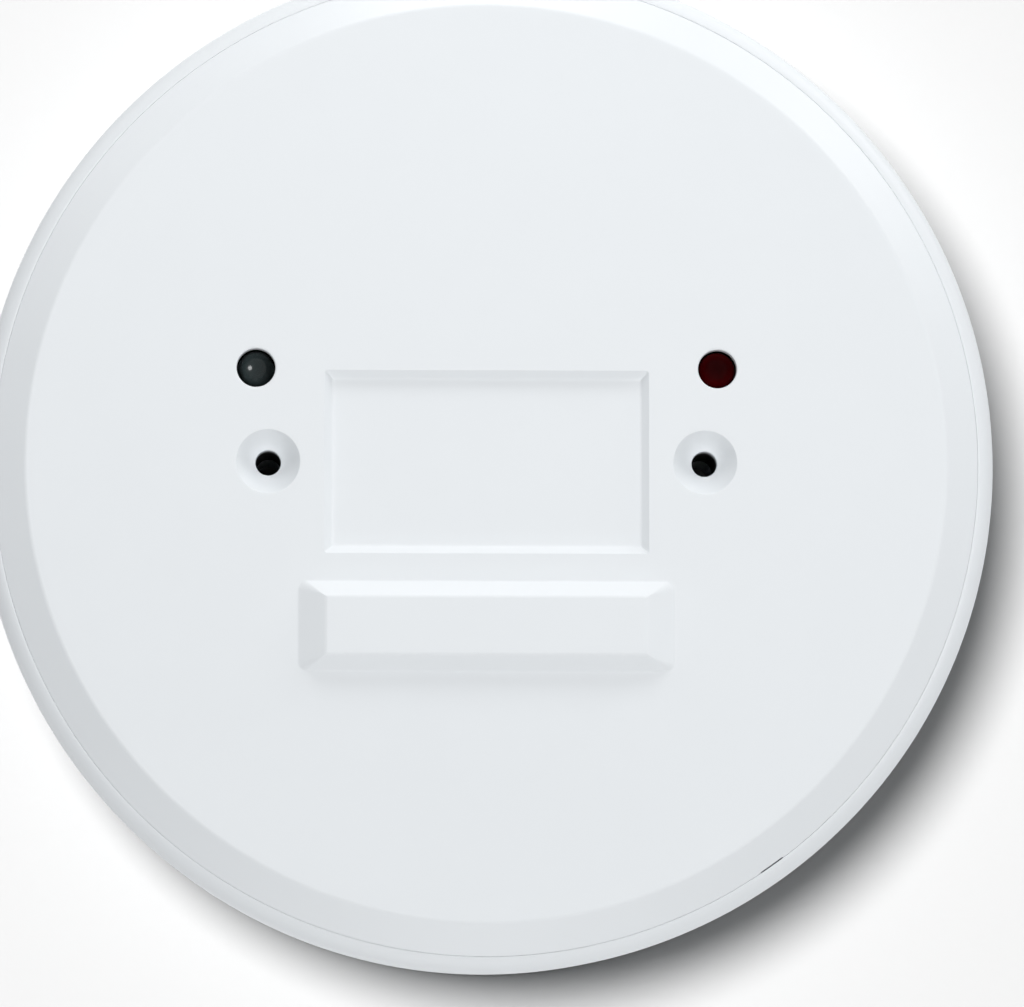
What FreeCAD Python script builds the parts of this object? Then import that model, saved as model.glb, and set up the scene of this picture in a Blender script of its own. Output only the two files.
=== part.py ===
import FreeCAD, Part
import math
import os

# Round wall module that switches an output relay when its alarm line calls.
# Millimetres. The module lies on its back: +Z points out of the front face,
# +Y is up on the wall, and the origin is the centre of the back face.

Vector = FreeCAD.Vector
NODES = {}

# Rear housing
housing_radius = 70.0
back_thickness = 2.0
back_edge_chamfer = 0.8
wall_thickness = 3.2
rim_wall = 2.25
rim_round_width = 2.0
rim_round_drop = 2.7
rim_facets = 3

# Front cover
relay_headroom = 2.4
bevel_width = 4.38
face_edge_radius = 1.2
face_edge_facets = 1
bevel_drop = 2.6
cover_thickness = 2.0
skirt_thickness = 1.6
skirt_depth = 6.0
joint_gap = 0.12
seat_gap = 0.1

# Fixing screws through cover and rear housing
fixing_spacing = 60.0
fixing_hole_radius = 1.75
countersink_radius = 4.4
cover_tube_radius = 4.0
cover_tube_end = 11.0
rear_post_radius = 5.0

# Label field, raised bar and lamp holes on the face
label_size = (44.6, 25.2)
label_depth = 1.0
label_wall_run = 1.1
bar_size = (51.6, 12.4)
bar_end_slope = 3.8
bar_side_slope = 2.2
bar_height = 1.8
bar_centre_y = -22.6
bar_edge_chamfer = (0.6, 0.25)
lamp_spacing = 63.4
lamp_y = 12.9
lamp_hole_radius = 2.65
lamp_collar_room = 0.7
lamp_collar_wall = 1.0
lamp_collar_depth = 4.0
pry_slot_angle = -54.6
pry_slot_size = (4.2, 0.7, 2.0)

# Stiffening and guides of the housing
rib_run = 9.25
rib_width = 1.2
rib_height = 2.0
rib_count = 8
tongue_count = 4
tongue_width = 8.0
tongue_depth = 8.0
guide_rib_width = 1.5
guide_rib_reach = 3.0
guide_gap = 0.3

# Cable entry in the back wall
entry_size = (40.0, 14.0)
entry_centre_y = -18.5
entry_corner_radius = 3.0
entry_collar_wall = 1.2
entry_collar_height = 1.6

# Circuit board
board_inset = 6.8
board_front_y = -9.0
board_thickness = 1.6
standoff_height = 4.0
standoff_radius = 3.4
standoff_inset = 6.0
standoff_angles = (20.0, 160.0)
support_angles = (-4.0, 90.0, 184.0)
support_size = (6.0, 1.5)
post_clearance = 0.6
board_screw_radius = 1.4
board_screw_length = 3.6
board_screw_head_radius = 2.8
board_screw_head_height = 1.9
screw_play = 0.05
board_hole_play = 0.25
board_screw_tip_room = 0.4
board_screw_slot = (0.8, 1.0)
isolation_slot_size = (9.0, 1.2)
pin_hole_play = 0.2
pin_tail = 1.2

# Terminal blocks
pole_count = 3
pole_pitch = 7.4
block_end_wall = 0.3
block_depth = 11.0
block_height = 14.0
block_step = (1.2, 8.0)
block_gap = 2.2
wire_entry_size = (5.0, 4.6)
wire_entry_low = 1.5
clamp_size = (5.4, 5.0)
clamp_wall = 0.8
clamp_floor = 0.9
clamp_window = 3.8
clamp_top = 1.8
clamp_rest = 1.0
clamp_play = 0.25
clamp_front_wall = 2.4
contact_width = 3.2
contact_thickness = 0.8
contact_gap = 0.3
contact_leg_width = 1.0
leg_slot_play = 0.1
clamp_screw_radius = 1.5
clamp_screw_head_radius = 2.1
clamp_screw_head_height = 1.7
clamp_screw_slot = (0.6, 0.9)
clamp_thread_play = 0.06
shoulder_thickness = 1.0
well_play = 0.3

# Relay
relay_centre = (14.5, 15.6)
relay_size = (22.0, 16.0, 16.0)
relay_wall = 0.9
relay_floor = 1.6
relay_wall_gap = 0.1
relay_edge = 0.8
relay_pin_slot_play = 0.1
yoke_thickness = 1.2
yoke_width = 10.0
yoke_leg_x = -9.4
yoke_top = 11.3
core_x = -2.4
core_radius = 1.9
pole_face_width = 6.2
pole_face_thickness = 0.7
bobbin_radius = 4.9
bobbin_flange = 0.7
bobbin_wall = 0.6
armature_gap = 0.65
armature_thickness = 1.0
armature_reach = 0.9
leaf_thickness = 0.3
leaf_width = 4.0
leaf_reach = 1.5
contact_x = 7.0
fixed_strip_inset = 0.9
coil_pin_y = 6.4
contact_pin_y = 3.2
leaf_rear_inset = 1.2
contact_tip = 2.4
contact_height = 0.6
closed_contact_gap = 0.06
armature_swing = 2.6
relay_pin_width = 0.9
relay_pin_thickness = 0.5
relay_pin_foot = 0.5
hinge_spring_thickness = 0.3
hinge_spring_width = 5.0
hinge_spring_foot = 5.0
hinge_spring_hook = 1.1
hinge_spring_gap = 0.05
coil_pin_height = 2.0
sole_margin = 2.0
winding_inset = 0.4
magnet_gap = 0.1
core_play = 0.05

# Lamps
lamp_radius = 2.5
lamp_length = 8.6
lamp_flange_radius = 2.9
lamp_flange_height = 1.0
lamp_dome_facets = 3
lamp_tip_below_face = 0.2
lamp_lead_width = 0.5
lamp_lead_pitch = 2.54
spacer_width = 6.2
spacer_bore = (3.4, 1.0)

# Other parts on the board: centres as (x, y), sizes as (x, y, z)
suppressor_centre = (-13.0, 9.4)
suppressor_size = (18.0, 8.4, 14.0)
suppressor_edge = 0.8
suppressor_pitch = 15.0
varistor_centre = (-9.0, 21.0)
varistor_radius = 5.6
varistor_width = 4.4
varistor_lift = 0.5
varistor_foot = (9.1, 1.6, 2.5)
varistor_pitch = 7.5
fuse_centre = (-21.5, 22.5)
fuse_radius = 4.2
fuse_height = 7.7
fuse_pitch = 5.08
reservoir_centre = (2.0, 34.0)
reservoir_radius = 5.0
reservoir_height = 15.5
reservoir_pitch = 5.0
dropper_centre = (-17.0, 34.0)
dropper_length = 12.0
dropper_radius = 2.2
dropper_lift = 1.0
dropper_lead_reach = 2.0
lead_width = 0.7
isolator_centre = (31.0, 27.0)
isolator_size = (4.6, 6.4, 3.2)
isolator_leg_count = 2
isolator_leg_pitch = 2.54
controller_centre = (17.0, 36.0)
controller_size = (5.0, 4.0, 1.5)
controller_leg_count = 4
controller_leg_pitch = 1.27
rectifier_centre = (-8.0, 42.0)
rectifier_size = (4.8, 6.4, 2.4)
rectifier_leg_count = 2
rectifier_leg_pitch = 2.54
transistor_centre = (29.0, 37.5)
transistor_size = (3.0, 1.4, 1.0)
transistor_leg_count = 1
transistor_leg_pitch = 1.9
leg_reach = 1.0
leg_thickness = 0.2
leg_width = 0.5
chip_lift = 0.15
resistor_size = (3.2, 1.6, 0.6)
resistor_row = (9.0, 44.0)
resistor_pitch = 3.4
resistor_count = 6
diode_size = (4.4, 2.6, 2.1)
diode_row = (-24.0, 43.0)
diode_pitch = 5.2
diode_count = 2

# Overlap of joined solids, and how far a cut runs past what it cuts
overshoot = 1.0

# Worked out from the sizes above
board_bottom = back_thickness + standoff_height
board_top = board_bottom + board_thickness
ceiling = board_top + relay_size[2] + relay_headroom
face_height = ceiling + cover_thickness
rim_height = face_height - bevel_drop
wall_inner_radius = housing_radius - wall_thickness
rim_inner_radius = housing_radius - rim_wall
cover_edge_radius = rim_inner_radius - joint_gap
face_radius = cover_edge_radius - bevel_width
skirt_inner_radius = cover_edge_radius - skirt_thickness
tongue_radius = wall_inner_radius - guide_gap
board_radius = wall_inner_radius - board_inset
skirt_end = rim_height - skirt_depth
ledge_height = skirt_end - seat_gap
bevel_angle = math.atan(bevel_drop / (cover_edge_radius - face_radius))
pin_end = board_bottom - pin_tail
fixing_x = fixing_spacing / 2
lamp_x = lamp_spacing / 2
countersink_depth = countersink_radius - fixing_hole_radius
rear_post_end = cover_tube_end - seat_gap


def on_circle(radius, angle):
    """Point (x, y) at an angle in degrees on a circle about the origin."""
    return (radius * math.cos(math.radians(angle)), radius * math.sin(math.radians(angle)))


standoffs = [on_circle(board_radius - standoff_inset, angle) for angle in standoff_angles]


def block(x_span, y_span, z_span):
    """Box from its three (low, high) spans."""
    size = [span[1] - span[0] for span in (x_span, y_span, z_span)]
    return Part.makeBox(size[0], size[1], size[2], Vector(x_span[0], y_span[0], z_span[0]))


def centred_block(centre, size, z_span):
    """Box on a centre (x, y) with a size (x, y)."""
    x_span = (centre[0] - size[0] / 2, centre[0] + size[0] / 2)
    y_span = (centre[1] - size[1] / 2, centre[1] + size[1] / 2)
    return block(x_span, y_span, z_span)


def rod(centre, radius, z_span):
    """Upright cylinder on a centre (x, y)."""
    return Part.makeCylinder(radius, z_span[1] - z_span[0], Vector(centre[0], centre[1], z_span[0]))


def tube(centre, outer, inner, z_span):
    """Upright tube on a centre (x, y)."""
    return rod(centre, outer, z_span).cut(rod(centre, inner, z_span))


def rectangle(centre, size, z, corner=0.0):
    """Level rectangle as a closed wire, with round corners where a radius is given."""
    half_x = size[0] / 2
    half_y = size[1] / 2
    signs = ((1, 1), (-1, 1), (-1, -1), (1, -1))
    if corner <= 0:
        points = [Vector(centre[0] + sx * half_x, centre[1] + sy * half_y, z) for sx, sy in signs]
        return Part.makePolygon(points + [points[0]])
    edges = []
    ends = []
    for index, (sx, sy) in enumerate(signs):
        hub = Vector(centre[0] + sx * (half_x - corner), centre[1] + sy * (half_y - corner), z)
        start = math.radians(90 * index)
        arc = [hub + Vector(corner * math.cos(start + t), corner * math.sin(start + t), 0)
               for t in (0, math.pi / 4, math.pi / 2)]
        ends.append(arc)
    for index, arc in enumerate(ends):
        edges.append(Part.Arc(arc[0], arc[1], arc[2]).toShape())
        edges.append(Part.LineSegment(arc[2], ends[(index + 1) % 4][0]).toShape())
    return Part.Wire(edges)


def plate(wire, height):
    """Solid from a level wire, raised by a height."""
    return Part.Face(wire).extrude(Vector(0, 0, height))


def frustum(centre, low_size, high_size, z_span):
    """Solid with flat sloping sides between two rectangles."""
    wires = [rectangle(centre, low_size, z_span[0]), rectangle(centre, high_size, z_span[1])]
    return Part.makeLoft(wires, True, True)


def side_profile(points, x_span):
    """Solid from a closed outline of (y, z) points, run along x."""
    corners = [Vector(x_span[0], y, z) for y, z in points]
    face = Part.Face(Part.makePolygon(corners + [corners[0]]))
    return face.extrude(Vector(x_span[1] - x_span[0], 0, 0))


def turned(points, centre=(0.0, 0.0)):
    """Solid of revolution about z from a closed outline of (r, z) points."""
    corners = [Vector(r, 0, z) for r, z in points]
    face = Part.Face(Part.makePolygon(corners + [corners[0]]))
    solid = face.revolve(Vector(0, 0, 0), Vector(0, 0, 1), 360)
    solid.translate(Vector(centre[0], centre[1], 0))
    return solid


def arc_points(hub, radius, first, last, facets):
    """Points in (r, z) on an arc about a hub, from a first to a last angle in radians."""
    turn = (last - first) / facets
    return [(hub[0] + radius * math.cos(first + turn * index), hub[1] + radius * math.sin(first + turn * index))
            for index in range(facets + 1)]


def round_end(low, high, facets):
    """Arc that leaves low upright and ends at high, which lies inward and above."""
    width = low[0] - high[0]
    drop = high[1] - low[1]
    radius = (width * width + drop * drop) / (2 * width)
    return arc_points((low[0] - radius, low[1]), radius, 0.0, math.asin(drop / radius), facets)


def fused(solids):
    """All solids of a list as one."""
    return solids[0].fuse(solids[1:]).removeSplitter() if len(solids) > 1 else solids[0]


def around(solid, count, first=0.0):
    """Copies of a solid, spread evenly about the z axis."""
    copies = []
    for index in range(count):
        copy = solid.copy()
        copy.rotate(Vector(0, 0, 0), Vector(0, 0, 1), first + index * 360.0 / count)
        copies.append(copy)
    return copies


def moved(solid, x, y, z):
    """Copy of a solid at another place."""
    copy = solid.copy()
    copy.translate(Vector(x, y, z))
    return copy


def keep(node, *solids):
    """Note the solids of a node."""
    NODES[node] = list(solids)


def make_rear_housing():
    """Dish with a rounded rim, a stepped seat for the cover, posts, guides and a cable entry."""
    rim_low = (housing_radius, rim_height - rim_round_drop)
    rim_high = (housing_radius - rim_round_width, rim_height)
    shell = turned([
        (0, 0),
        (housing_radius - back_edge_chamfer, 0),
        (housing_radius, back_edge_chamfer),
    ] + round_end(rim_low, rim_high, rim_facets) + [
        (rim_inner_radius, rim_height),
        (rim_inner_radius, ledge_height),
        (wall_inner_radius, ledge_height),
        (wall_inner_radius, back_thickness),
        (0, back_thickness),
    ])
    pieces = [shell]
    for side in (-1, 1):
        pieces.append(rod((side * fixing_x, 0), rear_post_radius, (0, rear_post_end)))
    for place in standoffs:
        pieces.append(rod(place, standoff_radius, (0, board_bottom)))
    support = centred_block((board_radius - support_size[0] / 2, 0), support_size, (0, board_bottom))
    for angle in support_angles:
        pieces.extend(around(support, 1, angle))
    collar_size = (entry_size[0] + 2 * entry_collar_wall, entry_size[1] + 2 * entry_collar_wall)
    collar_corner = entry_corner_radius + entry_collar_wall
    entry_centre = (0, entry_centre_y)
    collar_height = back_thickness + entry_collar_height
    pieces.append(plate(rectangle(entry_centre, collar_size, 0, collar_corner), collar_height))
    guide_offset = tongue_width / 2 + guide_gap
    for low in (guide_offset, -guide_offset - guide_rib_width):
        rib = block((wall_inner_radius - guide_rib_reach, rim_inner_radius),
                    (low, low + guide_rib_width), (0, ledge_height - overshoot))
        pieces.extend(around(rib, tongue_count))
    housing = fused(pieces)
    cuts = [plate(rectangle(entry_centre, entry_size, -overshoot, entry_corner_radius),
                  collar_height + 2 * overshoot)]
    for side in (-1, 1):
        cuts.append(rod((side * fixing_x, 0), fixing_hole_radius, (-overshoot, rear_post_end + overshoot)))
    pilot_depth = board_screw_length + board_screw_tip_room - board_thickness
    for place in standoffs:
        cuts.append(rod(place, board_screw_radius + screw_play,
                        (board_bottom - pilot_depth, board_bottom + overshoot)))
    keep("rear_housing", housing.cut(cuts))


def make_front_cover():
    """Bevelled disc with a skirt, lamp holes, sunk fixing holes, label field and raised bar."""
    flat_end = face_radius - face_edge_radius * math.tan(bevel_angle / 2)
    upright = math.pi / 2
    edge = arc_points((flat_end, face_height - face_edge_radius), face_edge_radius, upright,
                      upright - bevel_angle, face_edge_facets)
    under_bevel = face_height - cover_thickness / math.cos(bevel_angle)
    inner_bevel_end = under_bevel - (skirt_inner_radius - face_radius) * math.tan(bevel_angle)
    inner_face_radius = face_radius - cover_thickness * math.tan(bevel_angle / 2)
    shell = turned([(0, face_height)] + edge + [
        (cover_edge_radius, rim_height),
        (cover_edge_radius, skirt_end),
        (skirt_inner_radius, skirt_end),
        (skirt_inner_radius, inner_bevel_end),
        (inner_face_radius, ceiling),
        (0, ceiling),
    ])
    pieces = [shell]
    collar_end = ceiling - lamp_collar_depth
    collar_bore = 2 * (lamp_hole_radius + lamp_collar_room)
    collar_width = collar_bore + 2 * lamp_collar_wall
    backing = (label_size[0] + 2 * cover_thickness, label_size[1] + 2 * cover_thickness)
    pieces.append(centred_block((0, 0), backing, (ceiling - label_depth, face_height - label_depth)))
    bar_centre = (0, bar_centre_y)
    bar_top_size = (bar_size[0] - 2 * bar_end_slope, bar_size[1] - 2 * bar_side_slope)
    chamfer_run, chamfer_drop = bar_edge_chamfer
    bar_top = face_height + bar_height
    share = chamfer_drop / bar_height
    shoulder_size = tuple(top + share * (low - top) for low, top in zip(bar_size, bar_top_size))
    crown_size = tuple(top - chamfer_run for top in bar_top_size)
    pieces.append(frustum(bar_centre, bar_size, shoulder_size, (face_height, bar_top - chamfer_drop)))
    pieces.append(frustum(bar_centre, shoulder_size, crown_size, (bar_top - chamfer_drop, bar_top)))
    for side in (-1, 1):
        pieces.append(rod((side * fixing_x, 0), cover_tube_radius, (cover_tube_end, ceiling + overshoot)))
        pieces.append(centred_block((side * lamp_x, lamp_y), (collar_width, collar_width),
                                    (collar_end, ceiling + overshoot)))
    rib_low = ceiling - rib_height
    rib_inner_radius = face_radius - rib_run
    rib_outline = [(rib_inner_radius, ceiling), (inner_face_radius, ceiling),
                   (skirt_inner_radius, inner_bevel_end), (skirt_inner_radius, rib_low - rib_height),
                   (rib_inner_radius + rib_height, rib_low)]
    corners = [Vector(r, -rib_width / 2, z) for r, z in rib_outline]
    rib = Part.Face(Part.makePolygon(corners + [corners[0]])).extrude(Vector(0, rib_width, 0))
    pieces.extend(around(rib, rib_count, 180.0 / rib_count))
    tongue = block((tongue_radius - skirt_thickness, tongue_radius), (-tongue_width / 2, tongue_width / 2),
                   (skirt_end - tongue_depth, inner_bevel_end - overshoot))
    pieces.extend(around(tongue, tongue_count))
    cover = fused(pieces)
    label_floor = (label_size[0] - 2 * label_wall_run, label_size[1] - 2 * label_wall_run)
    cuts = [frustum((0, 0), label_floor, label_size, (face_height - label_depth, face_height))]
    hollow_low = (bar_size[0] - 2 * cover_thickness, bar_size[1] - 2 * cover_thickness)
    hollow_high = (bar_top_size[0] - cover_thickness, bar_top_size[1] - cover_thickness)
    cuts.append(frustum(bar_centre, hollow_low, hollow_high, (ceiling, ceiling + bar_height)))
    for side in (-1, 1):
        place = (side * fixing_x, 0)
        cuts.append(rod(place, fixing_hole_radius, (cover_tube_end - overshoot, face_height + overshoot)))
        cuts.append(Part.makeCone(fixing_hole_radius, countersink_radius, countersink_depth,
                                  Vector(place[0], place[1], face_height - countersink_depth)))
        lamp_place = (side * lamp_x, lamp_y)
        cuts.append(rod(lamp_place, lamp_hole_radius, (ceiling - overshoot, face_height + overshoot)))
        cuts.append(centred_block(lamp_place, (collar_bore, collar_bore), (collar_end - overshoot, ceiling)))
    slot = block((cover_edge_radius - pry_slot_size[1], cover_edge_radius + overshoot),
                 (-pry_slot_size[0] / 2, pry_slot_size[0] / 2), (rim_height - pry_slot_size[2], face_height))
    cuts.extend(around(slot, 1, pry_slot_angle))
    keep("front_cover", cover.cut(cuts))


def lead_places(centre, pitch, along_x=True):
    """Two lead places, spaced by a pitch about a centre."""
    if along_x:
        return [(centre[0] - pitch / 2, centre[1]), (centre[0] + pitch / 2, centre[1])]
    return [(centre[0], centre[1] - pitch / 2), (centre[0], centre[1] + pitch / 2)]


def pole_places(side):
    """Centres of the poles of the terminal block on one side of the board."""
    first = side * (block_gap / 2 + block_end_wall + pole_pitch * pole_count / 2)
    middle = (pole_count - 1) / 2
    return [(first + (index - middle) * pole_pitch, board_front_y + clamp_front_wall + clamp_size[1] / 2)
            for index in range(pole_count)]


window_low = board_top + clamp_rest + clamp_floor
window_high = window_low + clamp_window
clamp_high = window_high + clamp_top
tongue_high = window_high - contact_gap
tongue_low = tongue_high - contact_thickness
clamp_rise = tongue_low - contact_gap - window_low
shoulder_low = clamp_high + clamp_rise + contact_gap
head_low = shoulder_low + shoulder_thickness + screw_play
leg_front = clamp_size[1] / 2 + 2 * clamp_play
leg_back = leg_front + contact_thickness
wire_places = [place for side in (-1, 1) for place in pole_places(side)]
contact_legs = [(x, y + (leg_front + leg_back) / 2) for x, y in wire_places]


def make_terminal_block(node, side):
    """Stepped insulating body with a wire entry, a clamp chamber and a screw well for each pole."""
    poles = pole_places(side)
    half_width = pole_pitch * pole_count / 2 + block_end_wall
    middle = sum(place[0] for place in poles) / pole_count
    front = board_front_y
    step_in, step_up = block_step
    outline = [
        (front, board_top), (front, board_top + step_up), (front + step_in, board_top + step_up + step_in),
        (front + step_in, board_top + block_height), (front + block_depth, board_top + block_height),
        (front + block_depth, board_top),
    ]
    body = side_profile(outline, (middle - half_width, middle + half_width))
    cuts = []
    for x, y in poles:
        chamber_x = (x - clamp_size[0] / 2 - clamp_play, x + clamp_size[0] / 2 + clamp_play)
        chamber_y = (y - clamp_size[1] / 2 - clamp_play, y + leg_back)
        cuts.append(block(chamber_x, chamber_y, (board_top + clamp_rest - clamp_play, shoulder_low)))
        entry_x = (x - wire_entry_size[0] / 2, x + wire_entry_size[0] / 2)
        entry_low = board_top + wire_entry_low
        cuts.append(block(entry_x, (front - overshoot, y), (entry_low, entry_low + wire_entry_size[1])))
        shank_width = 2 * (clamp_screw_radius + contact_gap)
        cuts.append(centred_block((x, y), (shank_width, shank_width), (shoulder_low - overshoot, head_low)))
        well_radius = clamp_screw_head_radius + well_play
        cuts.append(rod((x, y), well_radius,
                        (shoulder_low + shoulder_thickness, board_top + block_height + overshoot)))
        leg_half = contact_leg_width / 2 + leg_slot_play
        leg_y = (y + leg_front - leg_slot_play, y + leg_back)
        cuts.append(block((x - leg_half, x + leg_half), leg_y, (board_top - overshoot, window_low)))
    keep(node, body.cut(cuts))


def make_terminal_contacts(node, side):
    """Bent strips: a tongue through each clamp, and a leg down through the board."""
    strips = []
    for x, y in pole_places(side):
        tongue = block((x - contact_width / 2, x + contact_width / 2), (y - clamp_size[1] / 2 + clamp_play,
                       y + leg_back), (tongue_low, tongue_high))
        leg = block((x - contact_leg_width / 2, x + contact_leg_width / 2), (y + leg_front, y + leg_back),
                    (pin_end, tongue_high))
        strips.append(tongue.fuse(leg).removeSplitter())
    keep(node, *strips)


def make_clamp(node, place):
    """Rising clamp: a cage with a window for the wire and a square clearance where its nut is tapped."""
    x, y = place
    cage = centred_block(place, clamp_size, (board_top + clamp_rest, clamp_high))
    window_x = (x - clamp_size[0] / 2 + clamp_wall, x + clamp_size[0] / 2 - clamp_wall)
    window = block(window_x, (y - clamp_size[1], y + clamp_size[1]), (window_low, window_high))
    thread_width = 2 * (clamp_screw_radius + clamp_thread_play)
    thread = centred_block(place, (thread_width, thread_width), (window_high - overshoot, clamp_high + overshoot))
    keep(node, cage.cut([window, thread]))


def make_clamp_screw(node, place):
    """Slotted screw that turns in its well and draws the clamp up."""
    slot_top = head_low + clamp_screw_head_height
    shank = rod(place, clamp_screw_radius, (window_high, (head_low + slot_top) / 2))
    head = rod(place, clamp_screw_head_radius, (head_low, slot_top))
    width, depth = clamp_screw_slot
    slot = centred_block(place, (3 * clamp_screw_head_radius, width), (slot_top - depth, slot_top + overshoot))
    keep(node, shank.fuse(head).removeSplitter().cut(slot))


def relay_at(solid):
    """Move a solid from the relay's own frame to its place on the board."""
    return moved(solid, relay_centre[0], relay_centre[1], board_top)


magnet_floor = relay_floor + magnet_gap
yoke_floor_high = magnet_floor + yoke_thickness
pole_low = yoke_top - pole_face_thickness
coil_low = yoke_floor_high + magnet_gap + bobbin_flange
coil_high = pole_low - magnet_gap - bobbin_flange
armature_low = yoke_top + magnet_gap
armature_high = armature_low + armature_thickness
leaf_high = armature_high + leaf_thickness
moving_low = armature_high - contact_height
moving_high = leaf_high + contact_height
closed_low = moving_high + closed_contact_gap
pivot_x = yoke_leg_x
swing_drop = math.tan(math.radians(armature_swing)) * (contact_x + contact_tip / 2 - pivot_x)
open_high = moving_low - swing_drop - closed_contact_gap
strip_x = relay_size[0] / 2 - relay_wall - fixed_strip_inset
relay_pins = {
    "coil_a": (core_x, coil_pin_y), "coil_b": (core_x, -coil_pin_y),
    "common": (yoke_leg_x + yoke_thickness / 2, 0.0),
    "closed": (strip_x, contact_pin_y), "open": (strip_x, -contact_pin_y),
}


def relay_pin_places():
    """Places of the relay's pins on the board."""
    return [(relay_centre[0] + x, relay_centre[1] + y) for x, y in relay_pins.values()]


def make_relay():
    """Small power relay: case, base with pins, magnet, armature with a contact leaf, two fixed contacts."""
    length, width, height = relay_size
    inner = (length - 2 * relay_wall, width - 2 * relay_wall)
    case = centred_block((0, 0), (length, width), (0, height))
    case = case.makeChamfer(relay_edge, [edge for edge in case.Edges if edge.BoundBox.ZMin > height - relay_edge])
    case = case.cut(centred_block((0, 0), inner, (-overshoot, height - relay_wall)))
    keep("relay_case", relay_at(case))

    base_size = (inner[0] - 2 * relay_wall_gap, inner[1] - 2 * relay_wall_gap)
    base = centred_block((0, 0), base_size, (0, relay_floor))
    half_pin = relay_pin_width / 2
    slot_size = (relay_pin_width + relay_pin_slot_play, relay_pin_thickness + relay_pin_slot_play)
    slots = [centred_block(place, slot_size, (-overshoot, relay_floor + overshoot))
             for place in relay_pins.values()]
    keep("relay_base", relay_at(base.cut(slots)))

    tail = pin_end - board_top
    leg_span = (yoke_leg_x, yoke_leg_x + yoke_thickness)
    sole = block((yoke_leg_x, core_x + core_radius + sole_margin), (-yoke_width / 2, yoke_width / 2),
                 (magnet_floor, yoke_floor_high))
    leg = block(leg_span, (-yoke_width / 2, yoke_width / 2), (magnet_floor, yoke_top))
    common = relay_pins["common"]
    common_pin = centred_block(common, (relay_pin_width, relay_pin_thickness), (tail, magnet_floor + relay_pin_foot))
    yoke = fused([sole, leg, common_pin])
    keep("relay_yoke", relay_at(yoke.cut(rod((core_x, 0), core_radius, (0, yoke_floor_high + overshoot)))))

    pole_high = armature_low - armature_gap
    core = rod((core_x, 0), core_radius, (magnet_floor, pole_high))
    pole = centred_block((core_x, 0), (pole_face_width, pole_face_width), (pole_low, pole_high))
    keep("relay_core", relay_at(core.fuse(pole).removeSplitter()))

    low_flange = (coil_low - bobbin_flange, coil_low)
    high_flange = (coil_high, coil_high + bobbin_flange)
    sleeve_radius = core_radius + core_play + bobbin_wall
    sleeve = rod((core_x, 0), sleeve_radius, (coil_low, coil_high))
    flange_size = (2 * bobbin_radius, 2 * bobbin_radius)
    bobbin = fused([centred_block((core_x, 0), flange_size, low_flange),
                    centred_block((core_x, 0), flange_size, high_flange), sleeve])
    bobbin = bobbin.cut(rod((core_x, 0), core_radius + core_play, (0, height)))
    keep("relay_bobbin", relay_at(bobbin))
    winding = tube((core_x, 0), bobbin_radius - winding_inset, sleeve_radius, (coil_low, coil_high))
    keep("relay_winding", relay_at(winding))
    coil_pins = []
    for name in ("coil_a", "coil_b"):
        pin = centred_block(relay_pins[name], (relay_pin_width, relay_pin_thickness),
                            (tail, magnet_floor + coil_pin_height))
        coil_pins.append(relay_at(pin))
    keep("relay_coil_pins", *coil_pins)

    armature = block((pivot_x, core_x + pole_face_width / 2 + armature_reach), (-yoke_width / 2, yoke_width / 2),
                     (armature_low, armature_high))
    keep("relay_armature", relay_at(armature))
    leaf = block((pivot_x + leaf_rear_inset, contact_x + leaf_reach), (-leaf_width / 2, leaf_width / 2),
                 (armature_high, leaf_high))
    tip_size = (contact_tip, contact_tip)
    tip = centred_block((contact_x, 0), tip_size, (moving_low, moving_high))
    keep("relay_contact_leaf", relay_at(leaf.fuse(tip).removeSplitter()))

    spring_x = (yoke_leg_x - hinge_spring_thickness, yoke_leg_x)
    spring_y = (-hinge_spring_width / 2, hinge_spring_width / 2)
    hook_low = armature_high + hinge_spring_gap
    hook_high = hook_low + hinge_spring_thickness
    strip = block(spring_x, spring_y, (hinge_spring_foot, hook_high))
    hook = block((spring_x[0], spring_x[0] + hinge_spring_hook), spring_y, (hook_low, hook_high))
    keep("relay_hinge_spring", relay_at(strip.fuse(hook).removeSplitter()))

    for node, pin, low, high in (
            ("relay_closed_contact", "closed", closed_low, closed_low + contact_height),
            ("relay_open_contact", "open", open_high - contact_height, open_high)):
        x, y = relay_pins[pin]
        strip_low = high if node == "relay_closed_contact" else low - leaf_thickness
        strip_span = (strip_low, strip_low + leaf_thickness)
        y_span = (min(y - half_pin, -contact_tip / 2), max(y + half_pin, contact_tip / 2))
        post_x = (x - relay_pin_thickness / 2, x + relay_pin_thickness / 2)
        arm = block((contact_x - contact_tip / 2, post_x[1]), y_span, strip_span)
        post = block(post_x, (y - half_pin, y + half_pin), (magnet_floor, strip_span[1]))
        pin_size = (relay_pin_thickness, relay_pin_thickness)
        pin_solid = centred_block((x, y), pin_size, (tail, magnet_floor + relay_pin_foot))
        fixed_tip = centred_block((contact_x, 0), tip_size, (low, high))
        keep(node, relay_at(fused([arm, post, pin_solid, fixed_tip])))


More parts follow.
